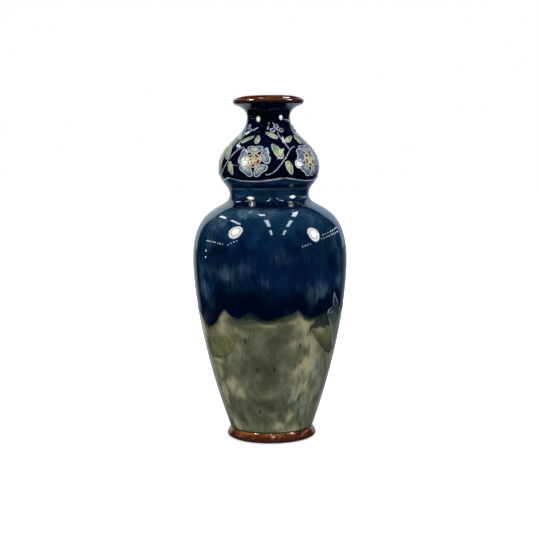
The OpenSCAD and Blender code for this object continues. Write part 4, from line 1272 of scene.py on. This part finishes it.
def slip_material(name, body, thin_share):
    """Trailed slip, with a share of its brightness where it is thin."""
    slip = Recipe(name, 0.15, darker(body, thin_share))
    slip.tint(slip.ramp(slip.noise(300, detail=3), 0.3, 0.6), body)
    return slip.done(slip.noise(700, detail=2), distance=0.0001, strength=0.2)


def pad_material(name, body, pooled, pale, pale_from=0.5):
    """Coloured glaze in a pad: pale in places, pooled and deeper along its lines."""
    glaze = Recipe(name, 0.07, body)
    mottle = glaze.noise(300, detail=3, rough=0.6)
    place = glaze.wander(glaze.field("along"), (glaze.noise(120, detail=2, seed=6), 0.8))
    glaze.tint(glaze.ramp(place, pale_from + 0.2, pale_from - 0.2), pale)
    glaze.shade(mottle, 0.75, 1.2)
    glaze.tint(glaze.ramp(glaze.wander(glaze.field("rim"), (mottle, 0.12)), 0.55, 0.97, 0, 0.8), pooled)
    return glaze.done(mottle, distance=0.0001, strength=0.2)


# Operators ------------------------------------------------------------------------------------------------

# The green glaze reaches this far under the blue, where it thins out; its last row is tucked in
UNDERLAP = 0.0016
THIN_SHARE = 0.3
TUCK_SHARE = 0.6
ROW_SLACK = 1e-7
# The blue glaze's rounded end: its depth as a share of the coat and its width, and its thick roll: place and width
END_SHARE = 0.75
END_WIDTH = 0.0009
ROLL_PLACE = 0.0016
ROLL_WIDTH = 0.0012
# The cobalt ends this far below the lip, and the foot's glaze is wiped off below this height
LIP_GAP = 0.02 * MM
WIPED_HEIGHT = 0.8 * MM
# Scale of the small lumps in the brown glazes
LUMP_SCALE = 150.0
# How far the pads are drawn in from the middle of their lines, as shares of the line width, and how much further
# the small round ones rise in their middle
DRAWN_IN = 0.3
DRAWN_IN_FINE = 0.25
DOT_DOME = 1.2


class DressingStep:
    """What the steps share: each makes its pieces from the form, the frieze, the colours and the section."""

    def execute(self, context):
        scene = context.scene
        self.make(scene.vase_form, scene.vase_frieze, scene.vase_colours, Section(scene.vase_form))
        return {"FINISHED"}


class VASE_OT_bare_clay(DressingStep, bpy.types.Operator):
    """Give the four pieces of clay their bare stoneware"""
    bl_idname = "vase.bare_clay"
    bl_label = "Bare clay"

    def make(self, form, frieze, colours, section):
        clay = clay_material(colours)
        for name in ("lower_body", "upper_body", "foot_ring", "rim_ring"):
            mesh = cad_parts[name].data
            mesh.materials.clear()
            mesh.materials.append(clay)


class VASE_OT_green_glaze(DressingStep, bpy.types.Operator):
    """Coat the lower half in mottled olive-grey glaze"""
    bl_idname = "vase.green_glaze"
    bl_label = "Green glaze"

    def make(self, form, frieze, colours, section):
        def lift(up, down):
            thin = np.clip(1 - (down - UNDERLAP / 2) / (UNDERLAP / 2), 0, 1)
            return -form.coat * (THIN_SHARE * thin + TUCK_SHARE * (down < ROW_SLACK))

        high = section.travel_at(drip_height(frieze, column_turns())) + UNDERLAP
        flat = coat_chart("green_flat", 0.0, high, form.coat, lift, dip=at_height(section, dip_field),
                          **glaze_fields(section, frieze, **GREEN_PATCHES))
        laid_piece("green_glaze_coat", flat, section.outside, green_glaze_material(colours, section),
                   "green_glaze", "green_glaze", Unevenness=form.unevenness)


class VASE_OT_blue_glaze(DressingStep, bpy.types.Operator):
    """Coat the belly, shoulder and waist in blue glaze, with a scalloped end"""
    bl_idname = "vase.blue_glaze"
    bl_label = "Blue glaze"

    def make(self, form, frieze, colours, section):
        def lift(up, down):
            rounded = END_SHARE * form.coat * np.clip(1 - up / END_WIDTH, 0, 1) ** 2
            return frieze.glaze_roll * np.exp(-((up - ROLL_PLACE) / ROLL_WIDTH) ** 2) - rounded

        low = section.travel_at(drip_height(frieze, column_turns()))
        high = section.travel_at(swag_height(frieze, section, column_turns()))
        flat = coat_chart("blue_flat", low, high, form.coat, lift,
                          **glaze_fields(section, frieze, clouds=BLUE_CLOUDS, pools=BLUE_POOLS))
        laid_piece("blue_glaze_coat", flat, section.outside, blue_glaze_material(colours),
                   "blue_glaze", "blue_glaze", Unevenness=form.unevenness)


class VASE_OT_cobalt_ground(DressingStep, bpy.types.Operator):
    """Coat the bulb and neck in near-black cobalt above the border line"""
    bl_idname = "vase.cobalt_ground"
    bl_label = "Cobalt ground"

    def make(self, form, frieze, colours, section):
        low = section.travel_at(swag_height(frieze, section, column_turns()))
        flat = coat_chart("cobalt_flat", low, section.travel[-1] - LIP_GAP, form.coat)
        laid_piece("cobalt_ground_coat", flat, section.outside, cobalt_material(colours),
                   "cobalt_ground", "cobalt_glaze", Unevenness=form.unevenness)


class VASE_OT_olive_runs(DressingStep, bpy.types.Operator):
    """Lay thin runs of olive glaze below the scallops"""
    bl_idname = "vase.olive_runs"
    bl_label = "Olive runs"

    def make(self, form, frieze, colours, section):
        laid_piece("olive_glaze_runs", runs_chart("run_flat", section, frieze, form.coat), section.outside,
                   run_material(colours), "olive_runs", "olive_glaze", Unevenness=form.unevenness)


class VASE_OT_brown_glazes(DressingStep, bpy.types.Operator):
    """Glaze the foot ring and the lip red-brown, and the inside plain"""
    bl_idname = "vase.brown_glazes"
    bl_label = "Foot, lip and inside"

    def make(self, form, frieze, colours, section):
        foot = section.foot[section.foot[:, 1] > WIPED_HEIGHT]
        # The foot's amber is partly a painted highlight, laid heavier on its left side
        foot_glaze = brown_material(colours, "foot glaze", low=0.0062, high=0.0080, painted_light_side=-2.5,
                                    pool=0.0027, pool_tone=colours.brown_pool)
        lip_glaze = brown_material(colours, "lip glaze", low=0.2975, high=0.2998, painted_light_side=0.0,
                                   pool=0.2944, pool_tone=colours.cobalt)
        inner_glaze = inside_material(colours)
        # Name, line, material, node, slot, step along the line, columns around and unevenness
        coats = (
            ("foot_glaze_coat", foot, foot_glaze, "foot_glaze", "brown_glaze", 0.00045, 480, 0.00012),
            ("rim_glaze_coat", section.lip, lip_glaze, "rim_glaze", "brown_glaze", 0.0004, 480, 0.00008),
            ("inner_glaze_coat", section.inside, inner_glaze, "inner_glaze", "inner_glaze", 0.0016, 192, 0.0),
        )
        for name, line, material, node, slot, step, columns, lumps in coats:
            under = (line - BACK_SHARE * form.coat * outward(line))[::-1]
            loop = np.concatenate([line, under, line[:1]])
            laid_piece(name, loop_chart(name + "_flat", columns, step, loop), loop, material, node, slot,
                       **{"Unevenness": lumps, "Uneven Scale": LUMP_SCALE})


def frieze_inputs(form, frieze):
    """What the trees are told for motifs that go around the vase in their true widths."""
    return {"Repeats": frieze.repeats, "First Turn": frieze.first_flower, "True Width": 1.0,
            "Wobble": frieze.wobble, "Unevenness": form.unevenness}


class VASE_OT_trailed_lines(DressingStep, bpy.types.Operator):
    """Trail the slip lines: border, vine, and the outlines of petals, hearts, eyes, leaves and berries"""
    bl_idname = "vase.trailed_lines"
    bl_label = "Trailed lines"

    def make(self, form, frieze, colours, section):
        motifs = Motifs(frieze, section)
        slip = slip_material("pale slip", colours.slip, thin_share=0.62)
        thin = slip_material("thin slip", colours.slip_thin, thin_share=0.5)
        cream = slip_material("cream slip", colours.slip_cream, thin_share=0.7)
        petals, hearts, eyes, leaves, berries = (
            [(outline, True, share) for outline, share, _ in pads]
            for pads in (motifs.petals, motifs.hearts, motifs.eyes, motifs.leaves, motifs.berries))
        stems = [(motifs.stem(), False, 0.5), (motifs.sprig(), False, 0.5)]
        fine = frieze.fine_share
        # Name, lines, material, node, slot, share of the line width and repeats
        trails = (
            ("border_line", [(motifs.border(), False, 0)], thin, "border_trail", "pale_slip", 0.85, 1),
            ("stem_lines", stems, thin, "stem_trails", "pale_slip", fine, frieze.repeats),
            ("petal_lines", petals, slip, "petal_trails", "pale_slip", 1, frieze.repeats),
            ("heart_lines", hearts, cream, "heart_trails", "cream_slip", fine, frieze.repeats),
            ("eye_rings", eyes, cream, "eye_trails", "cream_slip", fine, frieze.repeats),
            ("leaf_lines", leaves + motifs.ribs, slip, "leaf_trails", "pale_slip", 0.9, frieze.repeats),
            ("berry_rings", berries, slip, "berry_trails", "pale_slip", fine, frieze.repeats),
        )
        for seed, (name, lines, material, node, slot, width, repeats) in enumerate(trails):
            laid_piece(name, motifs.lines_mesh(name + "_flat", lines), section.outside, material, node, slot, TRAIL,
                       **{**frieze_inputs(form, frieze), "Repeats": repeats, "Seed": float(seed),
                          "Line Width": frieze.line_width * width, "Line Height": frieze.line_height})


class VASE_OT_coloured_pads(DressingStep, bpy.types.Operator):
    """Fill petals, hearts, eyes, leaves and berries with coloured glaze"""
    bl_idname = "vase.coloured_pads"
    bl_label = "Coloured pads"

    def make(self, form, frieze, colours, section):
        motifs = Motifs(frieze, section)
        petal = pad_material("petal glaze", colours.petal, colours.petal_deep, colours.petal_cream)
        russet = pad_material("russet glaze", colours.russet, darker(colours.russet, 0.3), darker(colours.russet, 1.3))
        eye = pad_material("eye glaze", colours.eye, darker(colours.eye, 0.6), colours.slip_cream)
        leaf_green = pad_material("leaf glaze", colours.leaf, darker(colours.leaf, 0.5), colours.leaf_pale)
        berry = pad_material("berry glaze", colours.berry, darker(colours.berry, 0.4), colours.petal, pale_from=0.2)
        full, fine = DRAWN_IN * frieze.line_width, DRAWN_IN_FINE * frieze.line_width
        low, high = frieze.pad_height, frieze.line_height
        # Name, outlines, material, node, slot, how far it is drawn in, height and dome
        pads = (
            ("petal_pads", motifs.petals, petal, "petals", "petal_glaze", full, low, 1),
            ("heart_pads", motifs.hearts, russet, "hearts", "russet_glaze", fine, low, 1),
            ("eye_pads", motifs.eyes, eye, "eyes", "eye_glaze", fine, high, DOT_DOME),
            ("leaf_pads", motifs.leaves, leaf_green, "leaves", "leaf_glaze", full, low, 1),
            ("berry_pads", motifs.berries, berry, "berries", "berry_glaze", fine, high, DOT_DOME),
        )
        for name, outlines, material, node, slot, drawn_in, height, dome in pads:
            laid_piece(name, motifs.pads_mesh(name + "_flat", outlines, height, drawn_in, dome), section.outside,
                       material, node, slot, **frieze_inputs(form, frieze))


# The studio -----------------------------------------------------------------------------------------------

# Round lamps beside the vase: place in metres and tint, and their glow across their half width
LAMPS = (("left_lamp", (-0.198, -0.143, 0.325), (1.0, 0.97, 0.85)),
         ("right_lamp", (0.257, -0.101, 0.297), (0.98, 0.96, 1.0)))
LAMP_RINGS = ((0.0, 1.0), (0.5, 1.0), (0.58, 0.42), (0.7, 0.44), (0.76, 0.72), (1.0, 0.68))
# The lamps are a little taller than wide, and their small bare bulb is far brighter
LAMP_STRETCH = 1.27
BULB_SHARE = 0.1
BULB_LEVEL = 40.0
# Ceiling strips: across and back of each row's first strip, as shares of the ceiling's height, and their number
CEILING_ROWS = ((-0.12, 0.28, 3), (0.255, 1.035, 4), (-0.77, 0.66, 2))
CEILING_PITCH = 0.70
CEILING_SIZE = (0.075, 0.43)
CEILING_LEAN = math.radians(7)
CEILING_TINT = (0.8, 0.93, 1.0)
# Rows of small lights around the room: the first and last place in metres, and their number
ROOM_LIGHTS = (((-1.45, 0.5, 0.45), (-1.45, -0.4, 0.5), 8), ((-1.45, 0.47, 0.22), (-1.45, 0.47, 0.11), 2),
               ((-1.35, -0.65, 0.52), (-1.15, -0.9, 0.73), 4), ((1.5, -0.1, 0.60), (1.1, 1.0, 0.46), 8),
               ((1.45, 0.05, 0.69), (1.05, 1.05, 0.54), 7), ((1.15, -1.0, 0.49), (1.35, -0.7, 0.53), 4))
ROOM_LIGHT_SIZE = 0.025
ROOM_LIGHT_TINT = (0.85, 1.0, 0.93)
# Large lights that the glaze doesn't mirror: their turn from the front, how far out and above their aim, and size
SOFT_LIGHTS = (("left_soft_light", math.radians(-46)), ("right_soft_light", math.radians(46)))
SOFT_REACH = 1.35
SOFT_RISE = 1.0
SOFT_SIZE = 1.3
# White board behind the vase in reflections: half width and height as shares of its distance
BOARD_SHARES = (0.84, 0.76)
# Its top is lower in the middle: from and to these shares aside it rises from this share to the full height
BOARD_DIP = (0.1, 0.35, 0.12)
BOARD_SOFTNESS = 0.04
# Up to this share of its distance it rises from one level of brightness to another, and from its left to its right
# its colour changes this far on either side of the middle
BOARD_LEVELS = (0.5, 0.85, 1.15)
BOARD_TURN = 0.15
NEAR_BACK = 0.001
# The table: half its width, its roughness, and its white around the vase: from one distance to another it rises from
# one share to the full
TABLE_HALF = 6.0
TABLE_ROUGHNESS = 0.9
TABLE_SHADOW = (0.05, 0.35, 0.5, 1.0)
# The board's light on the table, as the glaze mirrors it: how far aside it starts to narrow, how soft its side is
# from one place across to another, where it starts behind the vase, and its levels from one distance to another
TABLE_CLEAR = 0.07
TABLE_SIDES = (-0.1, 0.1, BOARD_SHARES[0] - 0.3, BOARD_SHARES[0] - 0.6)
TABLE_START = 0.05
TABLE_LEVELS = (0.15, 0.9, 0.5, 0.73)
TABLE_NEAR_BACK = 0.01


class VASE_OT_studio(bpy.types.Operator):
    """Set the table, the white surroundings, the lamps and the camera"""
    bl_idname = "vase.studio"
    bl_label = "Studio"

    def execute(self, context):
        scene = context.scene
        studio, form = scene.vase_studio, scene.vase_form
        self.table(studio)
        self.surroundings(scene, studio)
        aim = Vector((0, 0, form.foot_height + form.belly_rise + form.shoulder_rise / 2))
        for name, place, tint in LAMPS:
            self.round_lamp(name, Vector(place), aim, tint, studio)
        lean, high = CEILING_LEAN, studio.ceiling_height
        for row, (aside, back, count) in enumerate(CEILING_ROWS):
            for n in range(count):
                along = n * CEILING_PITCH
                place = Vector((aside + along * math.sin(lean), back - along * math.cos(lean), 1)) * high
                strip = self.area(f"ceiling_strip_{row}_{n}", place, None, CEILING_SIZE[0] * high,
                                  CEILING_SIZE[1] * high, studio.strip_glow, CEILING_TINT)
                strip.rotation_euler = (0, 0, lean)
        for row, (first, last, count) in enumerate(ROOM_LIGHTS):
            for n in range(count):
                place = Vector(first).lerp(Vector(last), n / (count - 1))
                self.area(f"room_light_{row}_{n}", place, aim, ROOM_LIGHT_SIZE, ROOM_LIGHT_SIZE,
                          studio.room_light_glow, ROOM_LIGHT_TINT, "ELLIPSE")
        for name, turn in SOFT_LIGHTS:
            place = aim + Vector((SOFT_REACH * math.sin(turn), -SOFT_REACH * math.cos(turn), SOFT_RISE))
            self.area(name, place, aim, SOFT_SIZE, SOFT_SIZE, studio.soft_glow)
        self.camera(scene, studio)
        scene.view_settings.view_transform = "Standard"
        return {"FINISHED"}

    def camera(self, scene, studio):
        lens = bpy.data.cameras.new("camera")
        lens.lens = studio.focal_length
        lens.sensor_fit = "HORIZONTAL"
        scene.camera = linked("camera", lens)
        place = (studio.camera_aside, -studio.camera_distance, studio.camera_height)
        scene.camera.matrix_world = (Matrix.Translation(place)
                                     @ Matrix.Rotation(math.pi / 2 - studio.camera_tilt, 4, "X")
                                     @ Matrix.Rotation(-studio.camera_roll, 4, "Z"))

    def area(self, name, place, aim, width, height, glow, tint=None, shape="RECTANGLE"):
        """An area lamp whose radiance is glow. A tinted one is only mirrored, and one without a tint only lights."""
        light = bpy.data.lights.new(name, "AREA")
        light.shape = shape
        light.size = width
        light.size_y = height
        light.energy = glow * math.pi * width * height * (1 if shape == "RECTANGLE" else math.pi / 4)
        lamp = linked(name, light)
        lamp.location = place
        if aim is not None:
            lamp.rotation_euler = (aim - place).to_track_quat("-Z", "Y").to_euler()
        lamp.visible_camera = False
        if tint is None:
            lamp.visible_glossy = False
        else:
            light.color = tint
            lamp.visible_diffuse = False
        return lamp

    def round_lamp(self, name, place, aim, tint, studio):
        """A small round lamp head: a bare bulb in a bright middle, a dimmer ring and its bright outer ring."""
        lamp = self.area(name, place, aim, 2 * studio.lamp_radius, 2 * LAMP_STRETCH * studio.lamp_radius,
                         studio.lamp_glow, tint, "ELLIPSE")
        lamp.data.use_nodes = True
        sheet = NodeSheet(lamp.data.node_tree)
        up = tuple(lamp.rotation_euler.to_matrix() @ Vector((0, 1, 0)))
        apart = sheet.vector("SUBTRACT", sheet.add("ShaderNodeNewGeometry").outputs["Position"], tuple(place))
        rise = sheet.vector("DOT_PRODUCT", apart, up, output="Value")
        squeezed = sheet.scaled(up, sheet.times(rise, 1 - 1 / LAMP_STRETCH))
        out = sheet.over(sheet.vector("DISTANCE", apart, squeezed, output="Value"), studio.lamp_radius)
        rings = sheet.add("ShaderNodeValToRGB", {"Fac": out})
        ramp = rings.color_ramp
        while len(ramp.elements) < len(LAMP_RINGS):
            ramp.elements.new(0.5)
        for element, (share, level) in zip(ramp.elements, LAMP_RINGS):
            element.position = share
            element.color = (level, level, level, 1)
        bulb = sheet.times(sheet.maths("LESS_THAN", out, BULB_SHARE), BULB_LEVEL)
        sheet.link(sheet.plus(rings.outputs["Color"], bulb), sheet.tree.nodes["Emission"].inputs["Strength"])

    def table(self, studio):
        """A pale table: white around the vase, with its soft shadow, and dim in front of it in reflections."""
        mesh = bpy.data.meshes.new("table")
        corners = [(TABLE_HALF * x, TABLE_HALF * y, 0) for x, y in ((-1, -1), (1, -1), (1, 1), (-1, 1))]
        mesh.from_pydata(corners, [], [(0, 1, 2, 3)])
        table = linked("table", mesh)
        material = bpy.data.materials.new("table")
        material.use_nodes = True
        sheet = NodeSheet(material.node_tree)
        shader = sheet.tree.nodes["Principled BSDF"]
        shader.inputs["Base Color"].default_value = (*studio.floor, 1)
        shader.inputs["Roughness"].default_value = TABLE_ROUGHNESS
        shader.inputs["Specular IOR Level"].default_value = 0.0
        path = sheet.add("ShaderNodeLightPath").outputs
        place = sheet.add("ShaderNodeTexCoord").outputs["Object"]
        across, back, _ = sheet.parts(place)
        fill = sheet.span(sheet.vector("LENGTH", place, output="Value"), *TABLE_SHADOW)
        glow = sheet.add("ShaderNodeEmission", {"Strength": sheet.times(path["Is Camera Ray"], fill)})
        seen = sheet.add("ShaderNodeAddShader", {0: shader.outputs[0], 1: glow.outputs[0]})
        beside = sheet.most(sheet.minus(sheet.maths("ABSOLUTE", across), TABLE_CLEAR), 0.0)
        side = sheet.over(beside, sheet.most(back, TABLE_NEAR_BACK))
        inside = sheet.span(side, BOARD_SHARES[0] + BOARD_SOFTNESS, sheet.span(across, *TABLE_SIDES))
        inside = sheet.times(inside, sheet.span(back, 0.0, TABLE_START))
        board = sheet.span(inside, 0.0, 1.0, studio.room, sheet.span(back, *TABLE_LEVELS))
        mirrored = sheet.add("ShaderNodeEmission", {"Strength": board, "Color": self.board_tint(sheet, across, studio)})
        mix = sheet.add("ShaderNodeMixShader", {0: path["Is Glossy Ray"], 1: seen.outputs[0], 2: mirrored.outputs[0]})
        sheet.link(mix.outputs[0], sheet.tree.nodes["Material Output"].inputs["Surface"])
        mesh.materials.append(material)

    def surroundings(self, scene, studio):
        """White to the camera; in reflections a white board behind the vase and a dim room around it."""
        world = bpy.data.worlds.new("surroundings")
        world.use_nodes = True
        scene.world = world
        sheet = NodeSheet(world.node_tree)
        background = sheet.tree.nodes["Background"].inputs
        path = sheet.add("ShaderNodeLightPath").outputs
        across, back, up = sheet.parts(sheet.vector("NORMALIZE", sheet.add("ShaderNodeTexCoord").outputs["Generated"]))
        back = sheet.most(back, NEAR_BACK)
        aside, rise = sheet.over(sheet.maths("ABSOLUTE", across), back), sheet.over(up, back)
        inside = 1.0
        for part, limit in ((aside, BOARD_SHARES[0]), (rise, sheet.span(aside, *BOARD_DIP, BOARD_SHARES[1]))):
            edge = sheet.span(sheet.minus(limit, part), -BOARD_SOFTNESS, BOARD_SOFTNESS)
            inside = sheet.times(inside, edge)
        board = sheet.most(sheet.times(inside, sheet.span(rise, 0.0, *BOARD_LEVELS)), studio.room)
        mirrored = sheet.most(path["Is Glossy Ray"], path["Is Transmission Ray"])
        level = sheet.either(mirrored, studio.air_light, board)
        sheet.link(sheet.either(path["Is Camera Ray"], level, 1.0), background["Strength"])
        tint = sheet.blend(mirrored, studio.backdrop, self.board_tint(sheet, across, studio))
        sheet.link(tint, background["Color"])

    def board_tint(self, sheet, across, studio):
        """The mirrored board's colour, from its left to its right side."""
        return sheet.blend(sheet.span(across, -BOARD_TURN, BOARD_TURN), studio.board_left, studio.board_right)


class VASE_PT_sidebar(bpy.types.Panel):
    """Lists the steps in the order in which the vase is dressed"""
    bl_idname = "VASE_PT_sidebar"
    bl_label = "Stoneware vase"
    bl_space_type = "VIEW_3D"
    bl_region_type = "UI"
    bl_category = "Vase"

    def draw(self, context):
        for step in STEPS:
            self.layout.operator(step.bl_idname)
        for group in GROUPS:
            box = self.layout.box()
            values = getattr(context.scene, group)
            for key in values.__annotations__:
                box.prop(values, key)


GROUPS = {"vase_form": VaseForm, "vase_frieze": VaseFrieze, "vase_colours": VaseColours, "vase_studio": VaseStudio}
STEPS = (VASE_OT_bare_clay, VASE_OT_green_glaze, VASE_OT_olive_runs, VASE_OT_blue_glaze, VASE_OT_cobalt_ground,
         VASE_OT_brown_glazes, VASE_OT_trailed_lines, VASE_OT_coloured_pads, VASE_OT_studio)
CLASSES = (*GROUPS.values(), *STEPS, VASE_PT_sidebar)


def register():
    for item in CLASSES:
        bpy.utils.register_class(item)
    for name, group in GROUPS.items():
        setattr(bpy.types.Scene, name, PointerProperty(type=group))


def unregister():
    for name in GROUPS:
        delattr(bpy.types.Scene, name)
    for item in reversed(CLASSES):
        bpy.utils.unregister_class(item)


def main():
    register()
    bpy.ops.vase.bare_clay()
    bpy.ops.vase.green_glaze()
    bpy.ops.vase.olive_runs()
    bpy.ops.vase.blue_glaze()
    bpy.ops.vase.cobalt_ground()
    bpy.ops.vase.brown_glazes()
    bpy.ops.vase.trailed_lines()
    bpy.ops.vase.coloured_pads()
    bpy.ops.vase.studio()


if __name__ == "__main__":
    main()
